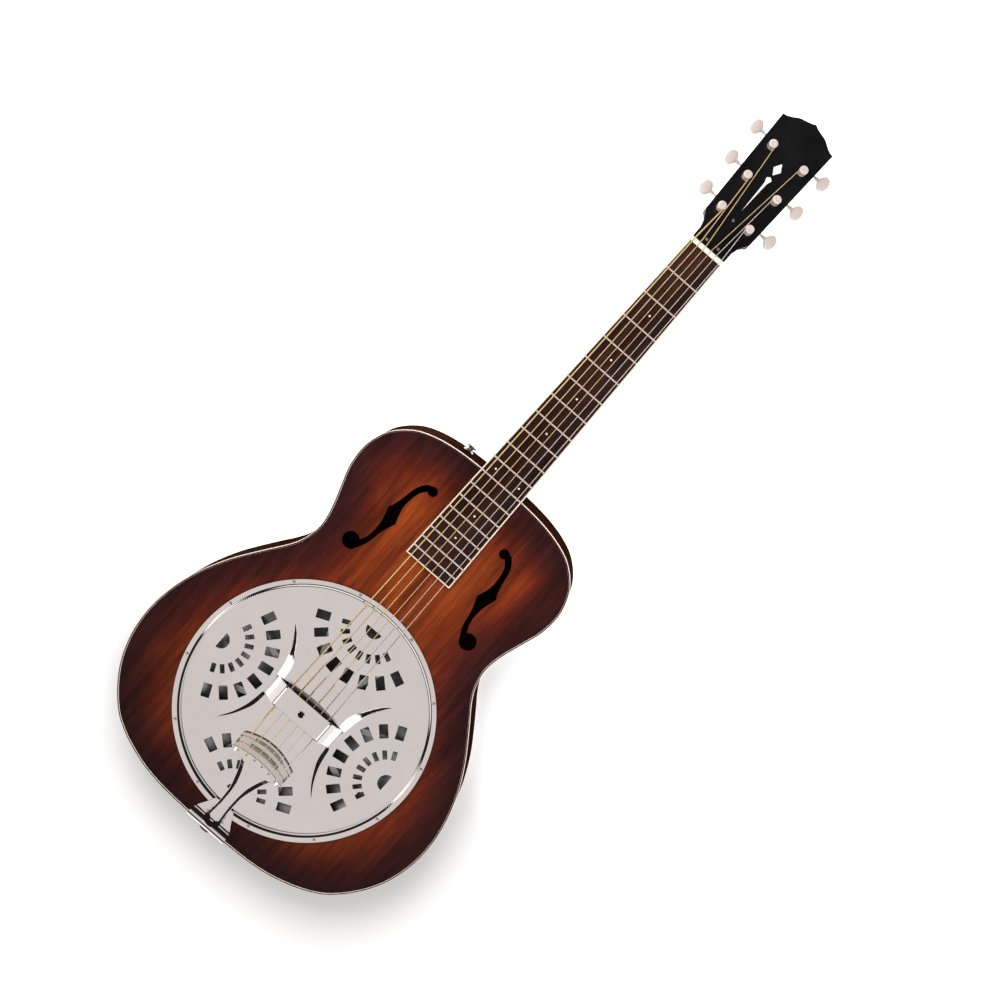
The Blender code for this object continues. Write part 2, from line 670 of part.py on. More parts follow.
def make_tailpiece():
    spots = [-BAR_HALF + BAR_HALF * i / 5 for i in range(11)]
    outline = [(x, bar_front(x)) for x in spots] + [(x, bar_rear(x)) for x in reversed(spots)]
    add_object("string_anchor", plate_mesh("string_anchor", [outline], BAR_LOW, BAR_HIGH), "nickel")
    # Middle line (y, height over the soundboard) and half width
    route = [
        (-0.058, 0.0081, 0.024),
        (-0.070, 0.0081, 0.032),
        (-0.080, 0.0081, 0.032),
        (-0.0815, 0.0081, 0.0206),
        (-0.088, 0.0080, 0.0170),
        (-0.097, 0.0078, 0.0132),
        (-0.108, 0.0074, 0.0100),
        (-0.122, 0.0066, 0.0076),
        (-0.1325, 0.0054, 0.0078),
        (-0.1335, 0.0052, 0.0120),
        (-0.141, 0.0042, 0.0160),
        (-0.152, 0.0027, 0.0220),
        (-0.1635, 0.0016, 0.0256),
        (-0.1672, 0.0008, 0.0256),
        (-0.1685, -0.0022, 0.0256),
        (-0.1687, -0.020, 0.0215),
        (-0.1687, -0.040, 0.0150),
        (-0.1687, -0.056, 0.0100),
    ]
    thick = 0.0012
    rings = []
    for i, (y, z, half) in enumerate(route):
        before, after = route[max(i - 1, 0)], route[min(i + 1, len(route) - 1)]
        along = Vector((after[0] - before[0], after[1] - before[1])).normalized()
        up = Vector((along.y, -along.x)) * thick / 2
        top, low = (y + up.x, TOP + z + up.y), (y - up.x, TOP + z - up.y)
        aside = 0 if y > -0.081 else TAIL_X
        left, right = aside - half, aside + half
        rings.append([(left, *top), (right, *top), (right, *low), (left, *low)])
    tail = add_object("tailpiece", loft_mesh("tailpiece", rings), "chrome")
    pin_bore = turned_mesh("cut_hanger", [(0, 0), (0.0046, 0), (0.0046, 0.008), (0, 0.008)], 16, "-Y")
    hanger_hole = helper("cut_hanger", pin_bore, Matrix.Translation((TAIL_X, -0.165, PIN_HEIGHT)))
    combine(tail, hanger_hole, "DIFFERENCE")
    crescent = arc((TAIL_X, -0.153), 0.0098, -180, 0, 8)
    crescent += arc((TAIL_X, -0.153), 0.0058, 0, -180, 6)
    moon = plate_mesh("cut_crescent", [crescent], TOP - 0.004, TOP + 0.012)
    combine(tail, helper("cut_crescent", moon), "DIFFERENCE")
    # End pin: (radius, distance out of the tail)
    pin = [(0, -0.0160), (0.0042, -0.0160), (0.0042, 0.0036), (0.0085, 0.0036), (0.0085, 0.0050)]
    pin += [(0.0052, 0.0065), (0.0048, 0.0100), (0.0072, 0.0115), (0.0075, 0.0140), (0.0060, 0.0158)]
    pin += [(0, 0.0158)]
    pin_spot = Matrix.Translation((TAIL_X, TAIL_Y, PIN_HEIGHT))
    add_object("end_pin", turned_mesh("end_pin", pin, 16, "-Y"), "black_lacquer", pin_spot)
    knob = [(0, 0.0003), (0.0062, 0.0003), (0.0058, 0.0013), (0.0037, 0.0021), (0.0034, 0.0048)]
    knob += [(0.0063, 0.0059), (0.0067, 0.0073), (0.0054, 0.0085), (0, 0.0085)]
    knob_mesh = turned_mesh("strap_button", knob, 16, "Y")
    add_object("strap_button", knob_mesh, "nickel", Matrix.Translation(BUTTON_SPOT))


def string_x(number, spread):
    """Strings are numbered from the treble side, 1 to 6."""
    return spread / 2 - (number - 1) * spread / 5


def post_of(number):
    """(across, along) of the post that this string winds on."""
    row = number - 1 if number <= 3 else 6 - number
    side = 1 if number <= 3 else -1
    return side * POST_ROWS[row][0], POST_ROWS[row][1]


def string_route(number):
    radius = STRING_R[number - 1]
    at_tail = string_x(number, SADDLE_SPREAD)
    at_nut = string_x(number, NUT_SPREAD)
    side = 1 if number <= 3 else -1
    across, along = post_of(number)
    beside_post = across - side * (POST_R + GAP + radius + 0.0002)
    finish = HEAD_FRAME @ Vector((beside_post, along, 0.0075))
    over_bar = BAR_HIGH + GAP + radius
    return [
        Vector((at_tail, bar_rear(at_tail) - 0.0014, TOP + 0.0100)),
        Vector((at_tail, bar_rear(at_tail) - 0.0012, over_bar)),
        Vector((at_tail, bar_front(at_tail), over_bar)),
        Vector((at_tail, 0, STRING_Z_SADDLE)),
        Vector((at_nut, SCALE_LENGTH, STRING_Z_NUT)),
        Vector((at_nut, HEAD_START, STRING_Z_NUT - 0.0002)),
        finish,
    ]


def make_strings():
    for number in range(1, 7):
        curve = bpy.data.curves.new(f"string_{number}", "CURVE")
        curve.dimensions = "3D"
        curve.bevel_depth = STRING_R[number - 1]
        curve.bevel_resolution = 1
        curve.use_fill_caps = True
        route = string_route(number)
        line = curve.splines.new("POLY")
        line.points.add(len(route) - 1)
        for point, spot in zip(line.points, route):
            point.co = (*spot, 1.0)
        add_object(f"string_{number}", curve, "steel" if number <= 2 else "bronze")


# Tuners, each in a frame whose origin is on the post's axis in the plane of the headstock's face


def gear_outline():
    loop = []
    for tooth in range(GEAR_TEETH):
        for share, radius in ((0.0, 0.0062), (0.35, GEAR_R), (0.8, GEAR_R)):
            angle = 2 * math.pi * (tooth + share) / GEAR_TEETH
            loop.append((radius * math.cos(angle), radius * math.sin(angle)))
    return loop


def post_mesh():
    """String post with its worm wheel and the screw that holds the wheel."""
    stem = [(0, -0.0245), (0.0026, -0.0245), (0.0026, -0.0200), (POST_R, -0.0200), (POST_R, 0.0050)]
    stem += [(0.0027, 0.0065), (0.0027, 0.0090), (0.0047, 0.0098), (0.0047, 0.0120), (0.0036, 0.0128)]
    stem += [(0, 0.0128)]
    wheel = plate_mesh("wheel", [gear_outline()], -0.0222, -0.0178)
    return combined_mesh("post", turned_mesh("stem", stem, 8), [wheel])


def button_mesh():
    """Worm shaft along +X with its scalloped button, on the worm's own axis."""
    shaft = [(0, -0.0068), (SHAFT_R, -0.0068), (SHAFT_R, -0.0046)]
    for x in (-0.0045, 0.0):
        shaft += [(0.0034, x + 0.0008), (0.0034, x + 0.0026), (0.0026, x + 0.0040)]
    shaft += [(SHAFT_R, 0.0046), (SHAFT_R, 0.0138), (0.0036, 0.0140), (0.0036, 0.0154), (0.0022, 0.0168)]
    shaft += [(0.0022, 0.0195), (0, 0.0195)]
    rings = []
    for height, scale in ((-0.0026, 0.72), (-0.0018, 0.95), (0.0018, 0.95), (0.0026, 0.72)):
        ring = []
        for i in range(16):
            angle = 2 * math.pi * (i + 0.5) / 16
            lobe = 1 + 0.04 * math.cos(6 * angle)
            x = 0.0250 + 0.0068 * scale * lobe * math.cos(angle)
            y = 0.0098 * scale * lobe * math.sin(angle) * (0.84 + 0.16 * math.cos(angle / 2) ** 2)
            ring.append((x, y, height))
        rings.append(ring)
    return combined_mesh("button", turned_mesh("shaft", shaft, 8, "X"), [loft_mesh("wing", rings)])


def bracket_mesh():
    """Base plate with two lugs that carry the worm shaft."""
    corner = 0.002
    loop = []
    corners = [(0.005, 0.020, 0), (-0.005, 0.020, 90), (-0.005, -0.009, 180), (0.005, -0.009, 270)]
    for x, y, start in corners:
        loop += arc((x, y), corner, start, start + 90, 1)
    base = plate_mesh("base", [loop, circle(0.0034, 10)], HEAD_BACK - GAP - 0.001, HEAD_BACK - GAP)
    lugs = []
    for side in (-1, 1):
        edges = sorted((side * 0.0050, side * 0.0062))
        low = (edges[0], WORM_OFFSET - 0.0042, WORM_DEPTH - 0.0036)
        lugs.append(box_between(low, (edges[1], WORM_OFFSET + 0.0042, HEAD_BACK - GAP - 0.0004)))
    joined = combined_mesh("bracket", base, [boxes_mesh("lugs", lugs)])
    bore = turned_mesh("bore", [(0, -0.01), (0.0024, -0.01), (0.0024, 0.01), (0, 0.01)], 10, "X")
    bore.transform(Matrix.Translation((0, WORM_OFFSET, WORM_DEPTH)))
    return combined_mesh("bracket_bored", joined, [bore], "DIFFERENCE")


def make_tuners():
    post, button, bracket = post_mesh(), button_mesh(), bracket_mesh()
    for number in range(1, 7):
        across, along = post_of(number)
        frame = HEAD_FRAME @ Matrix.Translation((across, along, 0))
        worm = frame @ Matrix.Translation((0, WORM_OFFSET, WORM_DEPTH))
        if across < 0:
            worm = worm @ Matrix.Rotation(math.pi, 4, "Y")
        add_object(f"string_post_{number}", post, "nickel", frame)
        add_object(f"tuner_button_{number}", button, "nickel", worm)
        add_object(f"tuner_bracket_{number}", bracket, "nickel", frame)


clear_scene()
make_box()
make_resonator()
make_neck()
make_fretboard()
make_tailpiece()
make_strings()
make_tuners()
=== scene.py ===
"""Looks of the resonator guitar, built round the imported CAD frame.

Metres, in the CAD's frame: +Z points out of the soundboard, +Y towards the head and +X to the treble side,
and the origin is on the back's face, straight under the centre of the coverplate.
"""

import json
import math

import bmesh
import bpy
import numpy as np
from mathutils import Matrix, Vector
from mathutils.geometry import delaunay_2d_cdt


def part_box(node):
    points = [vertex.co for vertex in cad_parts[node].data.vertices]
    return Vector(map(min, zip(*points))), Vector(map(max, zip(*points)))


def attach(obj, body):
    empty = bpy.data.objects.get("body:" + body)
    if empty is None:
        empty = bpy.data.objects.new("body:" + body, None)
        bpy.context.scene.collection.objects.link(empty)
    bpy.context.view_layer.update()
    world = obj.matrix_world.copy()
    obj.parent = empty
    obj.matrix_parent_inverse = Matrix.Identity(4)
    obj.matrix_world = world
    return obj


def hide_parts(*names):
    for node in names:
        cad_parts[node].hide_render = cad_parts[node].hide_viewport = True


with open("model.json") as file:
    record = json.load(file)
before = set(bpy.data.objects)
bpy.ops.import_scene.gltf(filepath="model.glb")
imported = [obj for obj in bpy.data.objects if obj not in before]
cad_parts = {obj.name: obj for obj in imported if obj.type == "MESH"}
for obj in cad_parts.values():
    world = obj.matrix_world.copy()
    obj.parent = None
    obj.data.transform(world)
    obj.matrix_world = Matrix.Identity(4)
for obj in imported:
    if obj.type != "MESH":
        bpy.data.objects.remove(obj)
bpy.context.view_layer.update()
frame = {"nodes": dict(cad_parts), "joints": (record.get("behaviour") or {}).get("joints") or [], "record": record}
nodes = frame["nodes"]
SLOT_OF = {part["node"]: part["material_slot"] for part in frame["record"]["subparts"]}
JOINT_OF = {joint["child"]: joint for joint in frame["joints"]}

MM = 0.001
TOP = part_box("top_plate")[1].z
TAU = 2 * math.pi
STRINGS = range(1, 7)


# Mesh helpers


def smooth(t):
    """0 below 0, 1 above 1 and an S-curve between them, for a number or an array."""
    t = np.clip(t, 0.0, 1.0)
    return t * t * (3 - 2 * t)


def mm(*points):
    """Points given in millimetres, in metres."""
    return [tuple(value / 1000 for value in point) for point in points]


def shift(x, y, z):
    return Matrix.Translation((x, y, z))


def circle(radius, steps, centre=(0.0, 0.0), start=0.0):
    angles = [start + TAU * i / steps for i in range(steps)]
    return [(centre[0] + radius * math.cos(t), centre[1] + radius * math.sin(t)) for t in angles]


def arc(centre, radius, start, stop, steps):
    """Points on an arc, in degrees from +X."""
    angles = np.radians(np.linspace(start, stop, steps + 1))
    return [(centre[0] + radius * math.cos(t), centre[1] + radius * math.sin(t)) for t in angles]


def spline(points, steps, closed=False):
    """A smooth curve through points of any dimension."""
    p = np.array(points, float)
    if closed:
        p = np.vstack([p[-1:], p, p[:2]])
    else:
        p = np.vstack([2 * p[:1] - p[1:2], p, 2 * p[-1:] - p[-2:-1]])
    made = []
    for a, b, c, d in zip(p, p[1:], p[2:], p[3:]):
        for t in np.arange(steps) / steps:
            square, cube = (2 * a - 5 * b + 4 * c - d) * t**2, (3 * b - a - 3 * c + d) * t**3
            made.append(b + (c - a) * t / 2 + square / 2 + cube / 2)
    if not closed:
        made.append(p[-2])
    return np.array(made)


def finish_mesh(name, build, sharp):
    bmesh.ops.recalc_face_normals(build, faces=build.faces)
    data = bpy.data.meshes.new(name)
    build.to_mesh(data)
    build.free()
    data.shade_smooth()
    data.set_sharp_from_angle(angle=math.radians(sharp))
    return data


def mesh_of(name, points, faces, sharp=35):
    data = bpy.data.meshes.new(name)
    data.from_pydata([tuple(p) for p in points], [], [tuple(int(i) for i in f) for f in faces])
    build = bmesh.new()
    build.from_mesh(data)
    bpy.data.meshes.remove(data)
    return finish_mesh(name, build, sharp)


def skin(name, rings, looped=False, sharp=35):
    """Quads over closed rings of points, capped at both ends unless the last ring joins the first."""
    rings = np.array(rings, float)
    count, size = rings.shape[:2]
    faces = []
    for i in range(count if looped else count - 1):
        a, b = i * size, (i + 1) % count * size
        faces += [(a + j, a + (j + 1) % size, b + (j + 1) % size, b + j) for j in range(size)]
    if not looped:
        faces += [range(size), range((count - 1) * size, count * size)]
    return mesh_of(name, rings.reshape(-1, 3), faces, sharp)


def turned(name, profile, steps=48, place=None, sharp=35):
    """(radius, height) points spun about Z, closed on the axis or on its own first point."""
    build = bmesh.new()
    rings = []
    for radius, height in profile:
        around = circle(radius, steps) if radius > 0 else [(0.0, 0.0)]
        rings.append([build.verts.new((x, y, height)) for x, y in around])
    spans = list(zip(rings, rings[1:]))
    if profile[0][0] > 0:
        spans.append((rings[-1], rings[0]))
    for low, high in spans:
        for i in range(steps):
            j = (i + 1) % steps
            corners = [low[i % len(low)], low[j % len(low)], high[j % len(high)], high[i % len(high)]]
            build.faces.new(list(dict.fromkeys(corners)))
    if place is not None:
        build.transform(place)
    return finish_mesh(name, build, sharp)


def tube(name, path, radius, sides=12):
    """A round bar along a path. radius is a number or one number for each point."""
    path = [Vector(p) for p in path]
    radii = [float(r) for r in np.broadcast_to(radius, len(path))]
    side = Vector((1, 0, 0))
    rings = []
    for i, spot in enumerate(path):
        along = (path[min(i + 1, len(path) - 1)] - path[max(i - 1, 0)]).normalized()
        side = (side - along * side.dot(along)).normalized()
        up = along.cross(side)
        rings.append([spot + radii[i] * (side * x + up * y) for x, y in circle(1, sides)])
    return skin(name, rings)


def within(points, loop):
    """Which of the points lie inside a loop."""
    inside = np.zeros(len(points), bool)
    loop = np.array(loop, float)
    for (x0, y0), (x1, y1) in zip(loop, np.roll(loop, -1, axis=0)):
        crosses = (y0 > points[:, 1]) != (y1 > points[:, 1])
        if crosses.any():
            inside ^= crosses & (points[:, 0] < (x1 - x0) * (points[:, 1] - y0) / (y1 - y0) + x0)
    return inside


def slab(name, loops, low, high, spots=(), sharp=35):
    """A plate between two heights, which may be functions of x and y.

    The first loop is its edge, the others are holes, and spots are more points that its two faces bend at.
    """
    points, rims = [], []
    for loop in loops:
        start, size = len(points), len(loop)
        points += [Vector(p) for p in loop]
        rims += [(start + i, start + (i + 1) % size) for i in range(size)]
    points += [Vector(p) for p in spots]
    made = delaunay_2d_cdt(points, rims, [], 0, 1e-7)
    flat = np.array([p[:] for p in made[0]])
    faces = np.array([f for f in made[2] if len(f) == 3])
    centres = flat[faces].mean(axis=1)
    keep = np.zeros(len(faces), bool)
    for loop in loops:
        keep ^= within(centres, loop)
    used, faces = np.unique(faces[keep], return_inverse=True)
    flat, faces = flat[used], faces.reshape(-1, 3)
    heights = [h(flat[:, 0], flat[:, 1]) if callable(h) else np.full(len(flat), h) for h in (low, high)]
    count = len(flat)
    sides = np.vstack([faces[:, [0, 1]], faces[:, [1, 2]], faces[:, [2, 0]]])
    names = sides.min(axis=1) * count + sides.max(axis=1)
    _, first, copies = np.unique(names, return_index=True, return_counts=True)
    walls = [(a, b, b + count, a + count) for a, b in sides[first[copies == 1]]]
    corners = np.vstack([np.column_stack([flat, z]) for z in heights])
    return mesh_of(name, corners, [*faces, *(faces + count), *walls], sharp)


def hex_spots(low, high, pitch):
    """Evenly spread points over a rectangle."""
    made = []
    for row, y in enumerate(np.arange(low[1], high[1], pitch * 0.866)):
        made += [(x, y) for x in np.arange(low[0] + (row % 2) * pitch / 2, high[0], pitch)]
    return made


def box_mesh(name, low, high):
    build = bmesh.new()
    centre, size = (Vector(low) + Vector(high)) / 2, Vector(high) - Vector(low)
    bmesh.ops.create_cube(build, size=1.0, matrix=Matrix.Translation(centre) @ Matrix.Diagonal((*size, 1)))
    return finish_mesh(name, build, 35)


def joined(name, parts):
    """One mesh from several."""
    build = bmesh.new()
    for part in parts:
        build.from_mesh(part)
        bpy.data.meshes.remove(part)
    return finish_mesh(name, build, 35)


def rounded(item, width, steps=2, angle=40):
    """Breaks an object's sharp edges."""
    bevel = item.modifiers.new("rounded", "BEVEL")
    bevel.width = width
    bevel.segments = steps
    bevel.limit_method = "ANGLE"
    bevel.angle_limit = math.radians(angle)
    return item


def linked(name, data):
    """A new object in the scene."""
    made = bpy.data.objects.new(name, data)
    bpy.context.scene.collection.objects.link(made)
    return made


def cut(item, cutters, operation="DIFFERENCE"):
    """Applies Booleans between an object's mesh and other meshes, so that nothing is left but its mesh."""
    for data in cutters:
        tool = linked("tool", data)
        step = item.modifiers.new("cut", "BOOLEAN")
        step.solver = "EXACT"
        step.operation = operation
        step.object = tool
        graph = bpy.context.evaluated_depsgraph_get()
        result = bpy.data.meshes.new_from_object(item.evaluated_get(graph))
        item.modifiers.remove(step)
        bpy.data.objects.remove(tool)
        item.data = result
    item.data.shade_smooth()
    item.data.set_sharp_from_angle(angle=math.radians(35))
    return item


def dress(data, look):
    """Gives mesh data one of the looks, and nothing else."""
    data.materials.clear()
    data.materials.append(LOOKS[look])


def piece(name, data, look, *replaced, body="root", slot=None):
    """A finished piece that rides on a CAD body and stands for the CAD nodes named."""
    made = linked(name, data)
    dress(data, look)
    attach(made, body)
    if replaced:
        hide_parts(*replaced)
    return made


# Materials


class Nodes:
    """Short calls for the nodes of a material or of the world."""

    def __init__(self, owner):
        owner.use_nodes = True
        self.tree = owner.node_tree

    def add(self, kind, output, values, **settings):
        made = self.tree.nodes.new("ShaderNode" + kind)
        for word, value in settings.items():
            setattr(made, word, value)
        for socket, value in values.items():
            if isinstance(value, bpy.types.NodeSocket):
                self.tree.links.new(value, made.inputs[socket])
            else:
                made.inputs[socket].default_value = value
        return made.outputs[output]

    def sum(self, operation, a, b):
        return self.add("Math", "Value", {0: a, 1: b}, operation=operation)

    def plus(self, a, b):
        return self.sum("ADD", a, b)

    def minus(self, a, b):
        return self.sum("SUBTRACT", a, b)

    def times(self, a, b):
        return self.sum("MULTIPLY", a, b)


class Look(Nodes):
    """A Principled material, with short calls for the nodes that vary it over the surface."""

    def __init__(self, name, colour, **sockets):
        self.material = bpy.data.materials.new(name)
        super().__init__(self.material)
        self.shader = self.tree.nodes["Principled BSDF"]
        self.spot = self.tree.nodes.new("ShaderNodeTexCoord").outputs["Object"]
        self.shader.inputs["Base Color"].default_value = (*colour, 1.0)
        for word, value in sockets.items():
            self.shader.inputs[word.replace("_", " ")].default_value = value

    def noise(self, scale, stretch=(1, 1, 1), detail=4.0, rough=0.55, warp=0.0):
        spot = self.add("Mapping", "Vector", {"Vector": self.spot, "Scale": stretch})
        values = {"Vector": spot, "Scale": scale, "Detail": detail, "Roughness": rough, "Distortion": warp}
        return self.add("TexNoise", "Fac", values)

    def ramp(self, factor, stops):
        """Colours or greys along a factor, given as (position, colour or grey)."""
        made = self.tree.nodes.new("ShaderNodeValToRGB")
        band = made.color_ramp.elements
        while len(band) < len(stops):
            band.new(0.5)
        for element, (position, value) in zip(band, stops):
            grey = not hasattr(value, "__len__")
            element.position = position
            element.color = (value, value, value, 1) if grey else (*value, 1)
        self.tree.links.new(factor, made.inputs["Fac"])
        return made.outputs["Color"]

    def shades(self, factor, colour, low, high):
        """From a darker to a lighter shade of a colour."""
        darker, lighter = (tuple(min(c * k, 1.0) for c in colour) for k in (low, high))
        return self.ramp(factor, [(0.3, darker), (0.7, lighter)])

    def mix(self, factor, a, b, blend="MIX"):
        values = {0: factor, 6: a, 7: b}
        return self.add("Mix", 2, values, data_type="RGBA", blend_type=blend)

    def tint(self, a, b):
        return self.mix(1.0, a, b, "MULTIPLY")

    def colour(self, source):
        self.tree.links.new(source, self.shader.inputs["Base Color"])

    def roughness(self, factor, low, high):
        values = {"Value": factor, "To Min": low, "To Max": high}
        self.tree.links.new(self.add("MapRange", "Result", values), self.shader.inputs["Roughness"])

    def bump(self, height, strength, distance):
        values = {"Height": height, "Strength": strength, "Distance": distance}
        self.tree.links.new(self.add("Bump", "Normal", values), self.shader.inputs["Normal"])


def wood_grain(look, base, along, depth=0.35, pores=0.6):
    """Fibres, ribbons and pores over a base colour. along stretches the grain's own direction."""
    stretch = [1.0 if not a else 0.045 for a in along]
    ribbon_stretch = [1.0 if not a else 0.16 for a in along]
    fibres = look.noise(750, stretch, detail=5, rough=0.65)
    ribbons = look.noise(42, ribbon_stretch, detail=5, rough=0.6, warp=0.6)
    streaks = look.noise(190, stretch, detail=6, rough=0.7, warp=0.2)
    pore = look.noise(1900, [1.0 if not a else 0.07 for a in along], detail=2)
    dark = look.ramp(pore, [(0.28, 1.0), (0.4, 0.0)])
    shade = look.ramp(fibres, [(0.25, 1 - depth), (0.75, 1 + depth * 0.6)])
    made = look.tint(base, shade)
    made = look.tint(made, look.ramp(ribbons, [(0.3, (0.5, 0.42, 0.5)), (0.68, (1.22, 1.26, 1.2))]))
    made = look.tint(made, look.ramp(streaks, [(0.34, (0.56, 0.46, 0.5)), (0.58, (1.12, 1.14, 1.1))]))
    made = look.mix(look.times(dark, pores), made, (0.012, 0.005, 0.003, 1))
    look.colour(made)
    look.bump(look.minus(fibres, dark), 0.12, 0.00008)


def burst_look():
    """Mahogany shaded from amber in the middle to near black at the edge, and darkened towards the tail with
    painted shade.
    """
    look = Look("burst_mahogany", (0.2, 0.04, 0.01), Roughness=0.35, Specular_IOR_Level=0.12)
    edge = look.add("Attribute", "Fac", {}, attribute_name="edge")
    drift = look.noise(16, detail=3)
    wander = look.times(look.minus(drift, 0.5), 26.0)
    depth = look.sum("DIVIDE", look.plus(edge, wander), 80.0)
    stops = [
        (0.06, (0.029, 0.005, 0.0055)),
        (0.26, (0.048, 0.0068, 0.005)),
        (0.42, (0.092, 0.0108, 0.004)),
        (0.58, (0.15, 0.019, 0.0036)),
        (0.8, (0.205, 0.031, 0.0042)),
        (1.00, (0.235, 0.04, 0.005)),
    ]
    # Painted shade: the colour falls to half at the tail end, standing in for light that fades there
    along = look.add("SeparateXYZ", "Y", {"Vector": look.spot})
    rise = look.add("MapRange", "Result", {"Value": along, "From Min": -0.17, "From Max": 0.25})
    painted_falloff = look.ramp(rise, [(0.0, 0.5), (0.6, 0.95), (1.0, 1.0)])
    wood_grain(look, look.tint(look.ramp(depth, stops), painted_falloff), (0, 1, 0))
    return look.material


def dark_wood_look(name, along, colour=(0.03, 0.0085, 0.0062), shine=0.04):
    look = Look(name, colour, Roughness=0.45, Specular_IOR_Level=shine)
    wood_grain(look, look.shades(look.noise(9, detail=2), colour, 0.6, 1.45), along, depth=0.4)
    return look.material


def bare_wood_look(name, colour, along):
    look = Look(name, colour, Roughness=0.7)
    wood_grain(look, look.shades(look.noise(14, detail=2), colour, 0.85, 1.1), along, depth=0.25, pores=0.25)
    look.roughness(look.noise(300), 0.6, 0.8)
    return look.material


def fretboard_look():
    look = Look("fretboard_wood", (0.03, 0.012, 0.01), Roughness=0.55, Specular_IOR_Level=0.12)
    streaks = look.noise(60, (1, 0.1, 1), detail=4, warp=0.5)
    stops = [(0.25, (0.014, 0.0065, 0.0055)), (0.55, (0.034, 0.0125, 0.01)), (0.8, (0.06, 0.024, 0.017))]
    wood_grain(look, look.ramp(streaks, stops), (0, 1, 0), depth=0.35, pores=0.8)
    look.roughness(look.noise(500, (1, 0.05, 1)), 0.42, 0.65)
    return look.material


def plastic_look(name, colour, roughness=0.25, stretch=(1, 1, 1)):
    """Celluloid or bone: soft clouds of colour, with fine marks."""
    look = Look(name, colour, Roughness=roughness, Subsurface_Weight=0.05, Subsurface_Scale=0.002)
    clouds = look.noise(90, stretch, detail=3)
    lines = look.noise(900, (1, 0.03, 1), detail=2)
    veins = look.ramp(lines, [(0.3, 0.92), (0.6, 1.0)])
    look.colour(look.tint(look.shades(clouds, colour, 0.9, 1.04), veins))
    look.roughness(look.noise(400), roughness * 0.8, roughness * 1.4)
    look.bump(lines, 0.05, 0.00003)
    return look.material


def edge_look(name, colour):
    """Celluloid drawn near black on faces that point up, and more so on faces that lean towards the tail."""
    look = Look(name, colour, Roughness=0.3, Specular_IOR_Level=0.2)
    clouds = look.noise(90, detail=3)
    pale = look.shades(clouds, colour, 0.9, 1.04)
    facing = look.add("NewGeometry", "Normal", {})
    toward_head, up = (look.add("SeparateXYZ", axis, {"Vector": facing}) for axis in "YZ")
    up = look.minus(up, look.times(toward_head, 0.35))
    dark_top = look.ramp(clouds, [(0.3, (0.024, 0.006, 0.006)), (0.7, (0.036, 0.008, 0.007))])
    look.colour(look.mix(look.ramp(up, [(0.84, 0.0), (0.94, 1.0)]), pale, dark_top))
    look.roughness(look.noise(400), 0.24, 0.42)
    return look.material


def lacquer_look(name, colour, roughness=0.12):
    """Gloss lacquer with the faint haze and swirl marks of polishing."""
    look = Look(name, colour, Roughness=roughness, Specular_IOR_Level=0.18)
    look.colour(look.shades(look.noise(25, detail=3), colour, 0.7, 1.4))
    look.roughness(look.noise(60, detail=5), roughness * 0.7, roughness * 1.6)
    look.bump(look.noise(1400, (1, 0.2, 1)), 0.03, 0.00002)
    return look.material


def metal_look(
    name, colour, roughness, spread=0.5, stretch=(1, 1, 1), wear=0.03, grain=0.00002, metallic=1.0
):
    """Bare or plated metal: polish that varies, faint clouds and fine scratches."""
    look = Look(name, colour, Metallic=metallic, Roughness=roughness)
    scratches = look.noise(1500, stretch, detail=3, rough=0.7)
    look.colour(look.shades(look.noise(28), colour, 0.965, 1.02))
    look.roughness(look.noise(70, detail=5), roughness * (1 - spread), roughness * (1 + spread))
    look.bump(scratches, wear, grain)
    return look.material


def spun_look():
    """Spun sheet: fine rings about the cone's axis."""
    look = Look("spun_aluminium", (0.7, 0.7, 0.71), Metallic=1.0, Roughness=0.32)
    rings = look.add(
        "TexWave",
        "Fac",
        {"Vector": look.spot, "Scale": 260.0, "Distortion": 1.5, "Detail": 2.0},
        wave_type="RINGS",
        rings_direction="Z",
    )
    look.colour(look.ramp(rings, [(0.2, (0.56, 0.56, 0.57)), (0.8, (0.76, 0.76, 0.77))]))
    look.roughness(look.noise(50), 0.22, 0.42)
    look.bump(rings, 0.2, 0.00005)
    return look.material


def wound_look():
    """Bronze wire wound along the string."""
    look = Look("wound_bronze", (0.9, 0.64, 0.32), Metallic=0.6, Roughness=0.45)
    turns = look.add(
        "TexWave",
        "Fac",
        {"Vector": look.spot, "Scale": 650.0, "Distortion": 0.0},
        wave_type="BANDS",
        bands_direction="Y",
    )
    look.colour(look.ramp(turns, [(0.1, (0.7, 0.44, 0.17)), (0.6, (0.98, 0.74, 0.38))]))
    look.roughness(look.noise(90), 0.38, 0.52)
    look.bump(turns, 0.15, 0.00005)
    return look.material


def pearl_look():
    """Mother-of-pearl: milky bands with a little green and rose."""
    look = Look("pearl", (0.8, 0.8, 0.76), Roughness=0.15, Coat_Weight=0.5)
    bands = look.noise(220, (1, 0.6, 1), detail=5, warp=2.5)
    stops = [
        (0.25, (0.32, 0.38, 0.33)),
        (0.42, (0.72, 0.76, 0.7)),
        (0.55, (0.86, 0.84, 0.78)),
        (0.72, (0.8, 0.66, 0.64)),
    ]
    look.colour(look.ramp(bands, stops))
    look.roughness(bands, 0.08, 0.3)
    return look.material


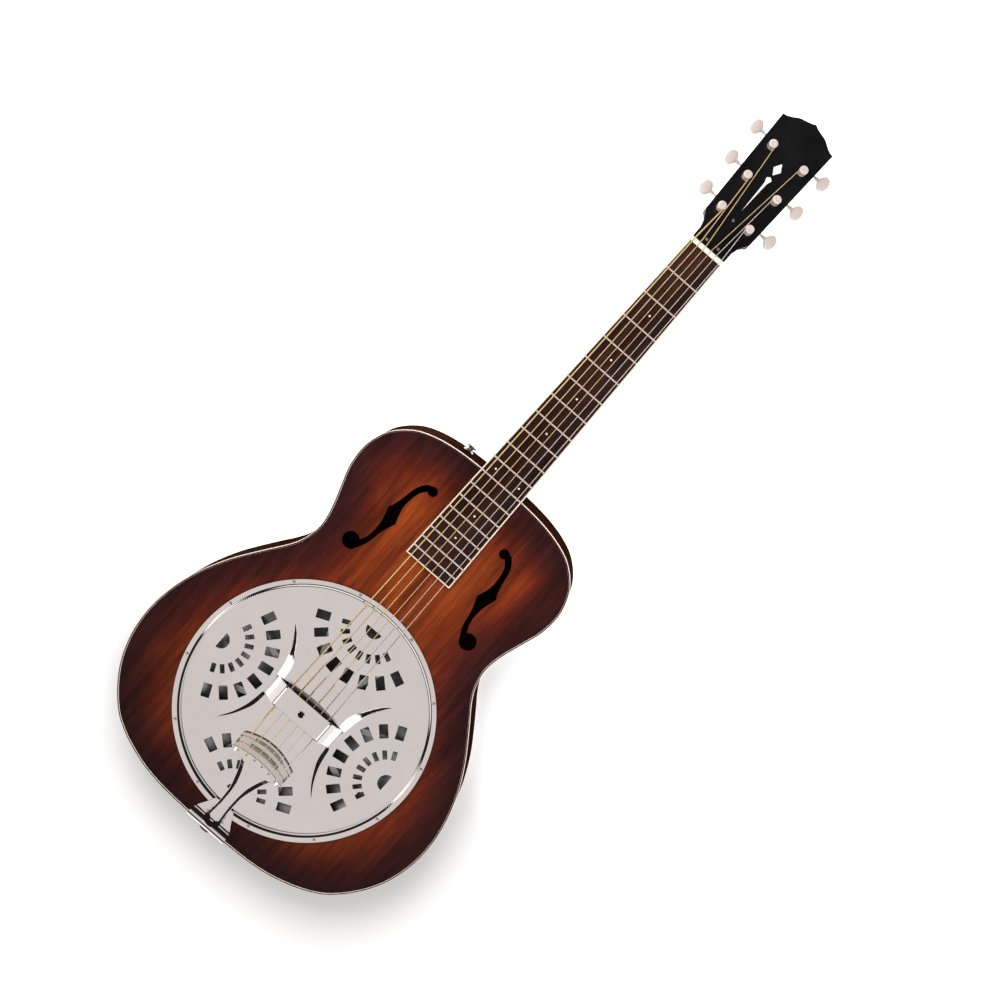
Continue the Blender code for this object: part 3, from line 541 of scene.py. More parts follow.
LOOKS = {
    "burst": burst_look(),
    "dark_y": dark_wood_look("dark_mahogany", (0, 1, 0)),
    "dark_side": dark_wood_look("side_mahogany", (1, 1, 0), shine=0.0),
    # Painted shade: near-black colour stands in for the dark inside the body
    "inner": dark_wood_look("interior_painted_shade", (0, 1, 0), (0.008, 0.004, 0.003), 0.0),
    "raw_x": bare_wood_look("cedar_across", (0.5, 0.31, 0.16), (1, 0, 0)),
    "raw_y": bare_wood_look("cedar_along", (0.5, 0.31, 0.16), (0, 1, 0)),
    "maple": bare_wood_look("maple_wood", (0.66, 0.48, 0.29), (1, 0, 0)),
    "board": fretboard_look(),
    "cream": plastic_look("cream_celluloid", (0.8, 0.69, 0.53)),
    "edge": edge_look("edge_celluloid", (0.8, 0.69, 0.55)),
    "bone": plastic_look("bone_nut", (0.82, 0.78, 0.68), 0.35),
    "black": lacquer_look("black_lacquer", (0.006, 0.006, 0.0065)),
    "black_metal": lacquer_look("black_plating_and_shade", (0.01, 0.01, 0.011), 0.45),
    "chrome": metal_look("chrome", (0.84, 0.785, 0.755), 0.05),
    "nickel": metal_look("nickel", (0.78, 0.73, 0.69), 0.13, 0.4),
    "satin": metal_look("satin_nickel", (0.78, 0.67, 0.62), 0.4, 0.2, metallic=0.4),
    "fret_wire": metal_look("fret_wire", (0.86, 0.72, 0.64), 0.42, 0.3, (0.05, 1, 1), metallic=0.5),
    "steel": metal_look("steel_wire", (0.84, 0.71, 0.64), 0.42, 0.3, (1, 0.02, 1), metallic=0.6),
    "bar": metal_look("bar_nickel", (0.8, 0.73, 0.68), 0.3, 0.3),
    "cast": metal_look("cast_aluminium", (0.58, 0.58, 0.59), 0.5, 0.2, wear=0.25, grain=0.00012),
    "spun": spun_look(),
    "wound": wound_look(),
    "pearl": pearl_look(),
}


# Body


def body_loop():
    """The body's outer edge, smoothed through the corners of the CAD's binding."""
    corners = {(round(v.co.x, 5), round(v.co.y, 5)) for v in nodes["top_binding"].data.vertices}
    middle = Vector((0, 0.1))
    ordered = sorted(corners, key=lambda p: math.atan2(p[1] - middle.y, p[0]))
    # Each corner of the outer edge has one of the inner edge beside it, nearer the middle
    pairs = zip(ordered[::2], ordered[1::2])
    outer = [max(pair, key=lambda p: (Vector(p) - middle).length) for pair in pairs]
    return spline(outer, 6, closed=True)


EDGE = body_loop()
EDGE_TURN = np.roll(EDGE, -1, axis=0) - np.roll(EDGE, 1, axis=0)
EDGE_TURN /= np.linalg.norm(EDGE_TURN, axis=1)[:, None]
EDGE_IN = np.column_stack([-EDGE_TURN[:, 1], EDGE_TURN[:, 0]])
BINDING_WIDE = 0.002
BINDING_TALL = 0.005
SIDE_THICK = 0.0024
WELL_R = 0.135


def inset(distance):
    return EDGE + EDGE_IN * distance


def edge_distance(data):
    """Writes how far each corner of a mesh is from the body's edge, in mm."""
    points = np.array([v.co[:2] for v in data.vertices])
    parts = [points[i : i + 500, None] - EDGE[None] for i in range(0, len(points), 500)]
    nearest = [np.sqrt((part**2).sum(-1)).min(1) for part in parts]
    layer = data.attributes.new("edge", "FLOAT", "POINT")
    layer.data.foreach_set("value", (np.concatenate(nearest) / MM).astype(np.float32))


def f_hole(side):
    """A sound hole: two round eyes joined by a stem that has a pointed notch on each edge."""
    outer_upper = mm((58.7, 270.2), (64.2, 263), (67.4, 254), (69.2, 243.3), (72.4, 231.6), (75.2, 225.3))
    outer_lower = mm((75.2, 225.3), (72.9, 217.2), (70.6, 207.3), (70.1, 195.6), (71.5, 186.6))
    inner_lower = mm((67.9, 178.5), (65.6, 186.6), (64.2, 195.6), (61.4, 205.5), (57.3, 215.8))
    inner_upper = mm((57.3, 215.8), (61.4, 228), (62.8, 237), (61.9, 248.7), (59.6, 257.7))
    upper_eye = arc((0.05, 0.268), 0.0055, -42, -280, 28)
    lower_eye = arc((0.082, 0.172), 0.0095, 136, -149, 36)
    loop = [*upper_eye, *spline(outer_upper, 4), *spline(outer_lower, 4)[1:]]
    loop += [*lower_eye, *spline(inner_lower, 4), *spline(inner_upper, 4)[1:]]
    return [(side * x, y) for x, y in loop]


def strip(name, outer, inner, low, high, keep=None):
    """A band that follows the body's edge between two insets."""
    rings = []
    for a, b in zip(inset(outer), inset(inner)):
        rings.append([(*a, low), (*a, high), (*b, high), (*b, low)])
    if keep is None:
        return skin(name, rings, looped=True)
    rings = [ring for ring in rings if keep(ring[0])]
    rings.sort(key=lambda ring: ring[0][1])
    return skin(name, rings)


def make_body():
    plate_edge = inset(BINDING_WIDE + 0.00006)
    low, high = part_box("top_plate")
    loops = [plate_edge, circle(WELL_R, 160), f_hole(1), f_hole(-1)]
    grid = np.array(hex_spots(low.xy, high.xy, 0.007))
    clear = within(grid, inset(0.006)) & (np.hypot(grid[:, 0], grid[:, 1]) > WELL_R + 0.003)
    for side in (-1, 1):
        gap = np.linalg.norm(grid[:, None] - np.array(f_hole(side))[None], axis=2).min(axis=1)
        clear &= (gap > 0.0025) & ~within(grid, f_hole(side))
    soundboard = slab("soundboard", loops, low.z, high.z, grid[clear])
    edge_distance(soundboard)
    rounded(piece("soundboard", soundboard, "burst", "top_plate"), 0.0003)

    back_low, back_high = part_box("back_plate")
    back = slab("back", [plate_edge], back_low.z, back_high.z)
    piece("back", back, "dark_y", "back_plate")
    for word, high_z in (("top", TOP), ("back", BINDING_TALL)):
        node = f"{word}_binding"
        ring = strip(f"{word}_edge_binding", 0, BINDING_WIDE, high_z - BINDING_TALL, high_z)
        look = "edge" if word == "top" else "cream"
        rounded(piece(f"{word}_edge_binding", ring, look, node), 0.0006, 3)
    for word, side in (("bass", -1), ("treble", 1)):
        low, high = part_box(f"{word}_side")
        seam, reach = 0.0002, (low.z - 0.0002, high.z + 0.0002)
        wall = strip("wall", 0, SIDE_THICK, *reach, lambda p, s=side: s * p[0] > seam)
        rounded(piece(f"{word}_rib", wall, "dark_side", f"{word}_side"), 0.0002, 1)
    for look, names in (
        ("raw_x", "neck_block tail_block lower_back_brace"),
        ("raw_y", "bass_back_lining treble_back_lining"),
        # These inner parts get the near-black painted shade
        ("inner", "bass_top_lining treble_top_lining upper_back_brace middle_back_brace soundwell_ring"),
    ):
        for node in names.split():
            dress(nodes[node].data, look)


make_body()


# Resonator

COVER_R = 0.1418
SHEET, REST_SHEET = 0.001, 0.0013  # thickness of the coverplate and of the hand rest
FIELD_R = 0.1332  # where the domed middle meets the rim's inner step
FAN_R = 0.1165  # from the coverplate's centre to each fan's centre
FAN_PITCH = math.radians(18.75)
FAN_SLOTS = 8
# Radius, length and width of each ring of slots in a fan
FAN_RINGS = mm((56.7, 15.4, 9.8), (31.1, 10, 5.2))
HORN_ANGLE = 54.5  # where a horn runs out, seen from its fan's centre
HORN_HIGH = 0.0047
HORN_SIDE = 0.009  # half width of the hand rest's bay, which the horns keep out of
FINE_R = 0.1285  # the rim's finer rings start here
SCREW_R = 0.1391
REST_FRONT, REST_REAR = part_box("hand_rest")[1].y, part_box("hand_rest")[0].y


def rim_profile():
    """The coverplate's height over the soundboard at even steps of radius."""
    step = 0.00005
    radii = np.arange(0, COVER_R + step, step)
    dome = 0.0075 - 0.0059 * (radii / FIELD_R) ** 2.6
    knots = mm((133.2, 1.2), (133.4, 1.2), (136.7, 3.1), (141.8, 3.1))
    rim = np.interp(radii, *zip(*knots))
    raw = np.where(radii < FIELD_R, dome, rim)
    blur = np.exp(-((np.arange(-12, 13) / 5.0) ** 2))
    return radii, np.convolve(np.pad(raw, 12, mode="edge"), blur / blur.sum(), "valid")


PROFILE = rim_profile()


def horn_shape(x, y):
    """Height of the four horns that run out from the hand rest round the side fans."""
    u, v = FAN_R - np.abs(x), np.abs(y)
    reach, angle = np.hypot(u, v), np.degrees(np.arctan2(v, u))
    foot = 0.0705 + 0.0115 * np.clip((angle - 12) / 42, 0, 1) ** 1.3
    left = np.clip((HORN_ANGLE - angle) / (HORN_ANGLE - 12), 0, 1)
    rise = 0.72 + 0.28 * smooth((angle - 8) / 14)
    crest = np.where(y > 0, HORN_HIGH, 0.5 * HORN_HIGH) * left**0.72 * rise
    width = crest / np.tan(np.radians(22 + 4 * smooth((angle - 24) / 10))) + 1e-6
    wall = np.clip((reach - foot) / width, 0, 1)
    back = 1 - np.clip((reach - foot - width) / (0.002 + 0.043 * crest / HORN_HIGH), 0, 1)
    clear = smooth((v - 0.0095) / 0.003)
    return crest * wall * back * clear * (angle < HORN_ANGLE)


def cover_height(x, y):
    return TOP + np.interp(np.hypot(x, y), *PROFILE) + horn_shape(x, y)


def slot_loop(place, length, width, corner=0.0007):
    """A rectangle with rounded corners, along its own X."""
    loop = []
    for sx, sy, start in ((1, 1, 0), (-1, 1, 90), (-1, -1, 180), (1, -1, 270)):
        centre = (sx * (length / 2 - corner), sy * (width / 2 - corner))
        loop += arc(centre, corner, start, start + 90, 3)
    return [tuple((place @ Vector((x, y, 0)))[:2]) for x, y in loop]


def cover_holes():
    holes = []
    for quarter in range(4):
        turn = Matrix.Rotation(quarter * math.pi / 2, 4, "Z")
        fan = turn @ shift(FAN_R, 0, 0)
        for radius, length, width in FAN_RINGS:
            for i in range(FAN_SLOTS):
                angle = math.pi + (i - (FAN_SLOTS - 1) / 2) * FAN_PITCH
                out = fan @ Matrix.Rotation(angle, 4, "Z") @ shift(radius, 0, 0)
                holes.append(slot_loop(out, length, width))
        moon = arc((0, 0), 0.0095, 90, 270, 20)
        holes.append([tuple((fan @ Vector((x, y, 0)))[:2]) for x, y in moon])
    front = mm((40.5, 13.4), (26, 16.4), (13, 18), (0, 18.4), (-13, 18), (-26, 16.4))
    bow = spline([*front, (-0.0405, 0.0134)], 4)
    left = arc((-0.0395, -0.0112), 0.001, 180, 270, 3)
    right = arc((0.0395, -0.0112), 0.001, 270, 360, 3)
    return [*holes, [*bow, *left, *right]]


def cover_spots(holes):
    """Where the coverplate's faces bend: rings everywhere, closer at the rim, and rows along the horns."""
    rings = list(np.arange(0.003, 0.1275, 0.002)) + list(np.arange(FINE_R, SCREW_R, 0.00032)) + [0.1402]
    field = []
    for radius in rings:
        count = 360 if radius > 0.128 else max(int(TAU * radius / 0.0021), 8)
        field += circle(radius, count, start=radius * 777)
    field = np.array(field)
    u, v = FAN_R - np.abs(field[:, 0]), np.abs(field[:, 1])
    reach, angle = np.hypot(u, v), np.degrees(np.arctan2(v, u))
    on_horn = (reach > 0.07) & (reach < 0.093) & (angle < 54) & (v > HORN_SIDE)
    field = field[~on_horn | (np.hypot(*field.T) > FINE_R)]
    horns = []
    for turn in np.arange(6.5, 54, 0.6):
        t = math.radians(turn)
        for reach in np.arange(0.0704, 0.0927, 0.0006):
            x, y = FAN_R - reach * math.cos(t), reach * math.sin(t)
            if y > HORN_SIDE and math.hypot(x, y) < FINE_R:
                horns += [(x, y), (-x, y), (x, -y), (-x, -y)]
    spots = np.vstack([field, horns])
    for hole in holes:
        loop = np.array(hole)
        near = np.abs(spots - loop.mean(axis=0)).max(axis=1) < 0.06
        gap = np.full(len(spots), 1.0)
        gap[near] = np.linalg.norm(spots[near][:, None] - loop[None], axis=2).min(axis=1)
        spots = spots[gap > 0.0005]
    return spots


def screw_head(radius, height, slot_wide=0.0005):
    """A domed screw head with a cross in it, standing on Z = 0."""
    turns = np.radians([15, 30, 45, 60, 75, 88])
    dome = [(0.0, height)] + [(radius * math.sin(t), height * math.cos(t)) for t in turns]
    dome += [(radius, -0.0003), (0.0, -0.0003)]
    head = linked("head", turned("head", dome, 24))
    long, thin, floor = 0.62 * radius, slot_wide / 2, height * 0.45
    arms = [box_mesh("arm", (-x, -y, floor), (x, y, height * 2)) for x, y in ((long, thin), (thin, long))]
    cut(head, arms)
    data = head.data
    bpy.data.objects.remove(head)
    return data


def placed(data, place):
    """A copy of mesh data, moved."""
    copy = data.copy()
    copy.transform(place)
    return copy


def rest_height(x, y):
    """Upper face of the hand rest: flat in the middle, with sloped ends and edges that curl down."""
    knots = mm((0, 22.2), (24, 22.2), (28, 22), (31, 21.1), (35, 17.6), (40, 12.6), (46, 6.4))
    fine = np.linspace(0, 0.046, 93)
    raw = np.interp(fine, *zip(*knots))
    blur = np.ones(5) / 5
    heights = np.convolve(np.pad(raw, 2, mode="edge"), blur, "valid")
    z = np.interp(np.abs(x), fine, heights)
    lip = np.minimum(REST_FRONT - y, y - REST_REAR)
    hole = np.hypot(x, y) - 0.003
    return TOP + z - 0.0002 * (1 - smooth(lip / 0.0007)) - 0.0004 * (1 - smooth(hole / 0.0009))


def lowered(height, thickness):
    """The underside of a sheet whose upper face is a function of x and y."""
    return lambda x, y: height(x, y) - thickness


def make_resonator():
    holes = cover_holes()
    loops = [circle(COVER_R, 360), *holes]
    cover = slab("cover", loops, lowered(cover_height, SHEET), cover_height, cover_spots(holes), 50)
    piece("fan_coverplate", cover, "chrome", "coverplate")

    centre = shift(0, (REST_FRONT + REST_REAR) / 2, 0)
    edge = slot_loop(centre, 0.0904, REST_FRONT - REST_REAR, 0.0004)
    xs, ys = np.arange(-0.0445, 0.0446, 0.0007), np.linspace(REST_REAR + 0.0002, REST_FRONT - 0.0002, 27)
    grid = np.array([(x, y) for x in xs for y in ys])
    rim = [circle(r, 40) for r in (0.0033, 0.0037, 0.0041, 0.0046)]
    grid = np.vstack([grid[np.hypot(*grid.T) > 0.005], *rim])
    sheet = slab("rest", [edge, circle(0.003, 40)], lowered(rest_height, REST_SHEET), rest_height, grid, 50)
    piece("palm_rest", sheet, "chrome", "hand_rest")

    screw = screw_head(0.0019, 0.0009)
    screws = []
    for i in range(12):
        angle = math.radians(15 + 30 * i)
        spot = shift(SCREW_R * math.sin(angle), SCREW_R * math.cos(angle), TOP + 0.003)
        screws.append(placed(screw, spot @ Matrix.Rotation(1.7 * i, 4, "Z")))
    piece("coverplate_screws", joined("coverplate_screws", screws), "nickel", slot="nickel")

    wall = mm(
        (134.2, -8.7), (129, -8.7), (126.8, -9.6), (124.8, -12.2), (110, -16.7), (90, -23), (70, -28.3),
        (50, -32.9), (40, -34.2), (30, -33.6), (22, -30.2), (12, -24), (5, -19.8), (0, -19),
    )
    curve = spline(wall, 4)
    upper = [(max(r, 0.0), z) for r, z in curve[:-1]] + [(0.0, wall[-1][1])]
    lower = [(r, z - 0.0009) for r, z in upper]
    profile = upper[::-1] + lower
    cone = turned("cone", profile, 144, shift(0, 0, TOP))
    piece("cone", cone, "spun", "resonator_cone")
    dress(nodes["spider_bridge"].data, "cast")
    rounded(nodes["spider_bridge"], 0.0004)
    dress(nodes["tension_screw"].data, "nickel")
    for word in ("bass", "treble"):
        low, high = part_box(f"{word}_saddle")
        seat = box_mesh("seat", low, (high.x, high.y, high.z + 0.001))
        rounded(piece(f"{word}_saddle_block", seat, "maple", f"{word}_saddle"), 0.0009, 4)


make_resonator()


# Neck

NUT_LOW, NUT_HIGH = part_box("nut")
BOARD_LOW, BOARD_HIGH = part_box("fretboard_binding")
SCALE = NUT_LOW.y - 0.0003
FACE = BOARD_HIGH.z
HALF_NUT, HALF_END = 0.0213, 0.0301
FACE_OUT = Vector(JOINT_OF["post_1"]["axis"])
ACROSS = Vector((1, 0, 0))
HEAD = Matrix((ACROSS, FACE_OUT.cross(ACROSS), FACE_OUT)).transposed().to_4x4()
HEAD.translation = (0, NUT_HIGH.y, TOP)
HEAD_BACK = -0.015
VENEER = 0.0015


def at_joint(name):
    """The headstock's own frame, moved to a joint."""
    place = Matrix(HEAD)
    place.translation = Vector(JOINT_OF[name]["pos_m"])
    return place


def post_holes(radius, steps):
    """Circles round the six posts, on the headstock."""
    spots = [HEAD.inverted() @ at_joint(f"post_{n}").translation for n in STRINGS]
    return [circle(radius, steps, spot[:2]) for spot in spots]


def board_half(y):
    return HALF_END + (HALF_NUT - HALF_END) * (y - BOARD_LOW.y) / (SCALE - BOARD_LOW.y)


def head_outline():
    """Half of the headstock's edge, as splines that meet at its corners."""
    lower = mm((21.3, 0.6), (21.4, 12.5), (23.4, 20.5), (27.4, 26.8), (29.9, 31))
    sides = mm((29.9, 31), (34.4, 162.8))
    crown = mm(
        (34.4, 162.8), (29, 164), (22.5, 167.7), (17.6, 170.8), (11.4, 172.6), (4.5, 174.6), (0, 176.8),
    )
    half = [*spline(lower, 4)[:-1], *sides[:-1], *spline(crown, 4)]
    return [(max(x, 0.0), y) for x, y in half]


def mirrored(half):
    return list(half) + [(-x, y) for x, y in reversed(half) if x > 1e-6]


# Half sections of the neck, as shares of its half width and depth
SHAFT = [(1, 0), (0.97, 0.25), (0.88, 0.48), (0.74, 0.67), (0.56, 0.83), (0.36, 0.93), (0.18, 0.985), (0, 1)]
HEEL = [(1, 0), (0.84, 0.12), (0.69, 0.28), (0.57, 0.47), (0.48, 0.68), (0.42, 0.88), (0.37, 1), (0, 1)]
SQUARE = [(1, 0), (1, 0.25), (1, 0.5), (1, 0.75), (1, 0.93), (0.93, 1), (0.5, 1), (0, 1)]


def neck_ring(half, depth, shape, share, place, top=0.0):
    """One cross-section of the neck: the round shaft's shape, blended by share with another."""
    mix = np.array(SHAFT) + (np.array(shape) - np.array(SHAFT)) * share
    right = [(half * w, top - depth * d) for w, d in spline(mix, 3)]
    outline = right + [(-x, z) for x, z in reversed(right[:-1])]
    return [place @ Vector((x, 0, z)) for x, z in outline]


def make_neck():
    heel_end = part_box("neck")[0].y
    # Distance from the heel's end, depth, and the heel's share in the section
    route = [(0, 0.072, 1), (0.008, 0.06, 0.95), (0.016, 0.044, 0.8), (0.026, 0.031, 0.55)]
    route += [(0.038, 0.022, 0.25), (0.054, 0.0178, 0), (0.11, 0.0168, 0)]
    route += [(0.22, 0.0156, 0), (0.3275, 0.0148, 0)]
    rings = []
    for out, depth, share in spline(route, 5):
        y = min(heel_end + out, NUT_HIGH.y)
        half, share = board_half(min(y, SCALE)), float(np.clip(share, 0, 1))
        rings.append(neck_ring(half, depth, HEEL, share, shift(0, y, TOP)))
    taper = [(0.0005, 0.0213, 0.1), (0.0125, 0.0214, 0.45), (0.0205, 0.0234, 0.75), (0.0268, 0.0274, 0.92)]
    taper += [(0.031, 0.0299, 1), (0.036, 0.0292, 1)]
    for along, half, share in taper:
        place = HEAD @ shift(0, along, 0)
        inner = 0.0004 if along > 0.032 else 0
        top = -VENEER - inner
        rings.append(neck_ring(half, top - HEAD_BACK - inner, SQUARE, share, place, top))
    shaft_mesh = skin("neck_wood", rings, sharp=50)
    blank = [(0.0281, 0.028)] + [p for p in head_outline() if p[1] > 0.028]
    head_mesh = slab("head_wood", [mirrored(blank), *post_holes(0.0043, 32)], HEAD_BACK, -VENEER)
    head_mesh.transform(HEAD)
    neck = piece("neck_wood", shaft_mesh, "dark_y", "neck")
    cut(neck, [head_mesh], "UNION")
    rounded(neck, 0.0008, 3, 55)
    face = slab("head_face", [mirrored(head_outline()), *post_holes(0.004, 40)], -VENEER, 0)
    face.transform(HEAD)
    rounded(piece("head_face", face, "black", "head_veneer"), 0.0004, 3)


make_neck()


# Fretboard, nut and headstock trim

FRETS = [SCALE * 2 ** (-n / 12) for n in range(1, 20)]
# Fret and place across of each dot
DOTS = [(3, 0), (5, 0), (7, 0), (9, 0), (12, -0.016), (12, 0.016), (15, 0), (17, 0)]
BOARD_BINDING = 0.0015


def make_fretboard():
    low, end = BOARD_LOW.z, BOARD_LOW.y
    inner = [(board_half(y) - BOARD_BINDING, y) for y in (SCALE, end + BOARD_BINDING)]
    outer = [(board_half(y), y) for y in (SCALE, end)]
    trim = outer + [(-x, y) for x, y in outer[::-1]] + [(-x, y) for x, y in inner] + inner[::-1]
    frame_mesh = slab("board_binding", [trim], low, FACE)
    rounded(piece("board_binding", frame_mesh, "cream", "fretboard_binding"), 0.0003)
    wood = [(x - 0.00002, y) for x, y in inner]
    board = slab("board", [wood + [(-x, y) for x, y in wood[::-1]]], low, FACE - 0.00003)
    piece("board", board, "board", "fretboard")

    wires, crown = [], arc((0, 0), 0.0009, 0, 180, 10)
    for y in FRETS:
        half = board_half(y) - 0.0001
        ends = [(half, 0.62), (half - 0.0005, 0.2), (half - 0.0014, 0.0)]
        rings = []
        for x, drop in [(-x, drop) for x, drop in ends] + ends[::-1]:
            rings.append([(x, y + a, FACE - 0.0001 + b * 1.3 * (1 - drop)) for a, b in crown])
        wires.append(skin("wire", rings, sharp=50))
    piece("fret_wires", joined("fret_wires", wires), "fret_wire", "frets")

    dots, disc = [], [(0.0, -0.0004), (0.0011, -0.0004), (0.0011, 0.00003), (0.0, 0.00005)]
    for fret, x in DOTS:
        y = (FRETS[fret - 1] + FRETS[fret - 2]) / 2
        dots.append(turned("dot", disc, 24, shift(x, y, FACE)))
    piece("position_dots", joined("position_dots", dots), "pearl", slot="bone")

    low, high = NUT_LOW, NUT_HIGH
    crest = TOP + 0.0101
    side = [(low.y, low.z), (high.y, low.z), (high.y, crest - 0.0016), (high.y - 0.0014, crest - 0.0006)]
    side += [(low.y + 0.0012, crest), (low.y + 0.0002, crest - 0.0001), (low.y, crest - 0.0004)]
    block = skin("nut", [[(x, y, z) for y, z in side] for x in (-HALF_NUT, HALF_NUT)])
    nut = piece("nut_block", block, "bone", "nut")
    grooves = []
    for number in STRINGS:
        x, radius = string_x(number, NUT_SPREAD), STRING_R[number - 1] * 1.15
        path = [(x, low.y - 0.002, STRING_AT_NUT), (x, high.y + 0.002, STRING_AT_NUT - 0.0005)]
        grooves.append(tube("groove", path, radius, 16))
        lid = (x - radius, low.y - 0.002, STRING_AT_NUT), (x + radius, high.y + 0.002, crest + 0.001)
        grooves.append(box_mesh("groove", *lid))
    cut(nut, grooves)
    rounded(nut, 0.0002, 2, 50)


def make_head_trim():
    low = 0.00002
    bell = mm((9.5, 2.5), (10.5, 6.5), (8.8, 15), (6, 24.5), (4.6, 34))
    half = [*spline(bell, 5), *arc((0, 0.0405), 0.0044, 10, 90, 10)]
    plate = slab("rod_cover", [mirrored(half)], low, 0.0018)
    plate.transform(HEAD)
    rounded(piece("rod_cover", plate, "black", "truss_rod_cover"), 0.0004, 3)
    screw = screw_head(0.0015, 0.0007)
    spots = [(0, 0.0398), (-0.0078, 0.0062), (0.0078, 0.0062)]
    heads = [placed(screw, HEAD @ shift(x, y, 0.0018)) for x, y in spots]
    piece("rod_cover_screws", joined("rod_cover_screws", heads), "nickel", slot="nickel")
    dress(nodes["truss_rod"].data, "steel")

    diamond = mm((0, 104.5), (4.8, 112.2), (0, 120.5), (-4.8, 112.2))
    spear = mm((0, 54), (0.8, 76), (1.5, 93), (3.4, 99), (0, 101.5))
    inlay = [slab("inlay", [diamond], -0.0008, 0.00004), slab("inlay", [mirrored(spear)], -0.0008, 0.00004)]
    marks = joined("head_inlay", inlay)
    marks.transform(HEAD)
    piece("head_inlay", marks, "pearl", slot="bone")


# Strings and tailpiece

STRING_R = [0.0004, 0.0004, 0.0004, 0.00045, 0.00055, 0.0007]  # first to sixth
NUT_SPREAD, SADDLE_SPREAD = 0.036, 0.052
STRING_AT_NUT = TOP + 0.0098
STRING_AT_SADDLE = TOP + 0.0136
POST_R = 0.003
COIL_HEIGHT = 0.0078  # of a string's first turn, over the headstock's face
BALL_R = 0.0016
BAR_LOW, BAR_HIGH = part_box("string_anchor")
BAR_HALF = BAR_HIGH.x


def string_x(number, spread):
    """Strings are numbered from the treble side, 1 to 6."""
    return spread / 2 - (number - 1) * spread / 5


def bar_front(x):
    return -0.048 - x * x * 8.0


def bar_rear(x):
    return -0.0715 - x * x * 4.5


def make_strings():
    for number in STRINGS:
        radius = STRING_R[number - 1]
        wire = "steel" if number <= 2 else "wound"
        tail_x, nut_x = string_x(number, SADDLE_SPREAD), string_x(number, NUT_SPREAD)
        over = BAR_HIGH.z + radius
        rear, front = bar_rear(tail_x), bar_front(tail_x)
        post = at_joint(f"post_{number}")
        side = -1 if number <= 3 else 1
        coil_r = POST_R - 0.0002 + radius
        meet = post @ Vector((side * coil_r, 0, COIL_HEIGHT))
        route = [
            (tail_x, rear - 0.0022, TOP + 0.0082),
            (tail_x, rear - 0.0014, over - 0.0008),
            (tail_x, rear - 0.0002, over),
            (tail_x, front + 0.001, over + 0.00002),
            (tail_x, -0.003, STRING_AT_SADDLE - 0.0002),
            (tail_x, 0.0, STRING_AT_SADDLE),
            (tail_x + (nut_x - tail_x) * 0.005, 0.0032, STRING_AT_SADDLE - 0.00002),
            (nut_x, SCALE, STRING_AT_NUT),
            (nut_x, NUT_HIGH.y, STRING_AT_NUT - 0.0003),
            meet,
        ]
        piece(f"wire_{number}", tube("wire", route, radius, 14), wire, f"string_{number}")

        turns, steps = 3, 28
        coil = []
        for i in range(turns * steps + 1):
            angle = side * TAU * i / steps + (0 if side > 0 else math.pi)
            height = COIL_HEIGHT - 2.02 * radius * i / steps
            coil.append(post @ Vector((coil_r * math.cos(angle), coil_r * math.sin(angle), height)))
        inward = [post @ Vector((side * coil_r * 0.4, 0.0, COIL_HEIGHT - 2.02 * radius * turns))]
        wrap = tube("wrap", coil + inward, radius, 10)
        slot = SLOT_OF[f"string_{number}"]
        piece(f"string_wrap_{number}", wrap, wire, body=f"post_{number}", slot=slot)
        ball = [(BALL_R * math.sin(t), -BALL_R * math.cos(t)) for t in np.linspace(0.3, 2.84, 10)]
        ball = [(0.0, -BALL_R), *ball, (0.0, BALL_R)]
        ball = turned("ball", ball, 20, shift(tail_x, rear - 0.0022, TOP + 0.0075))
        # Painted shade: the brass balls are drawn in black, standing in for the shadow behind the bar
        piece(f"string_ball_{number}", ball, "black_metal", slot="black_metal")


def make_string_bar():
    """Arched bar with two grooves along it, which the strings cross."""
    section = [(0, -0.4), (0.02, -0.06), (0.05, 0), (0.18, 0), (0.2, -0.24), (0.22, -0.24), (0.24, 0)]
    section += [(0.55, 0), (0.57, -0.24), (0.59, -0.24), (0.61, 0), (0.92, 0), (0.97, -0.1), (1, -0.5)]
    thick = BAR_HIGH.z - BAR_LOW.z
    rings = []
    for x in np.linspace(-BAR_HALF, BAR_HALF, 49):
        front, rear = bar_front(x), bar_rear(x)
        fade = 1 - 0.25 * smooth((abs(x) - BAR_HALF + 0.003) / 0.003)
        upper = [(front + (rear - front) * s, BAR_LOW.z + thick * (1 + d * 0.55) * fade) for s, d in section]
        rings.append([(x, y, z) for y, z in (*upper, (rear, BAR_LOW.z), (front, BAR_LOW.z))])
    bar = piece("string_bar", skin("bar", rings, sharp=30), "bar", "string_anchor")
    notches = []
    for number in STRINGS:
        x = string_x(number, SADDLE_SPREAD)
        ends = [(x, bar_rear(x) - 0.0008, z) for z in (BAR_LOW.z - 0.002, BAR_HIGH.z + 0.002)]
        notches.append(tube("notch", ends, 0.0017, 16))
    cut(bar, notches)
    rounded(bar, 0.00015, 1, 45)


# Tailpiece stations: y, height of the raised middle and of the plate beside it, and half widths of the
# middle, of its sloped flange's foot and of the whole plate. The string bar sits on the seat
TAIL_X = sum(corner.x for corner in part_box("end_pin")) / 2
TAIL_SEAT = mm(
    (-60, 8.4, 7.8, 20, 23.5, 23.6), (-72, 8.6, 7.4, 27, 31, 31.1), (-79.8, 8.7, 6.7, 27, 31.2, 31.3),
)
TAIL_NECK = mm(
    (-80.6, 8.7, 6.1, 15.8, 19.8, 20.2), (-84, 8.7, 6.1, 14, 18.4, 18.7), (-89, 8.6, 6, 11.6, 16.2, 16.5),
    (-97, 8.4, 5.7, 8.6, 13.2, 13.4), (-106, 8.1, 5.4, 6.2, 10.6, 10.8), (-116, 7.7, 5.1, 4.8, 8.4, 8.6),
    (-132.5, 6.7, 4.5, 4.5, 7.6, 7.8),
)
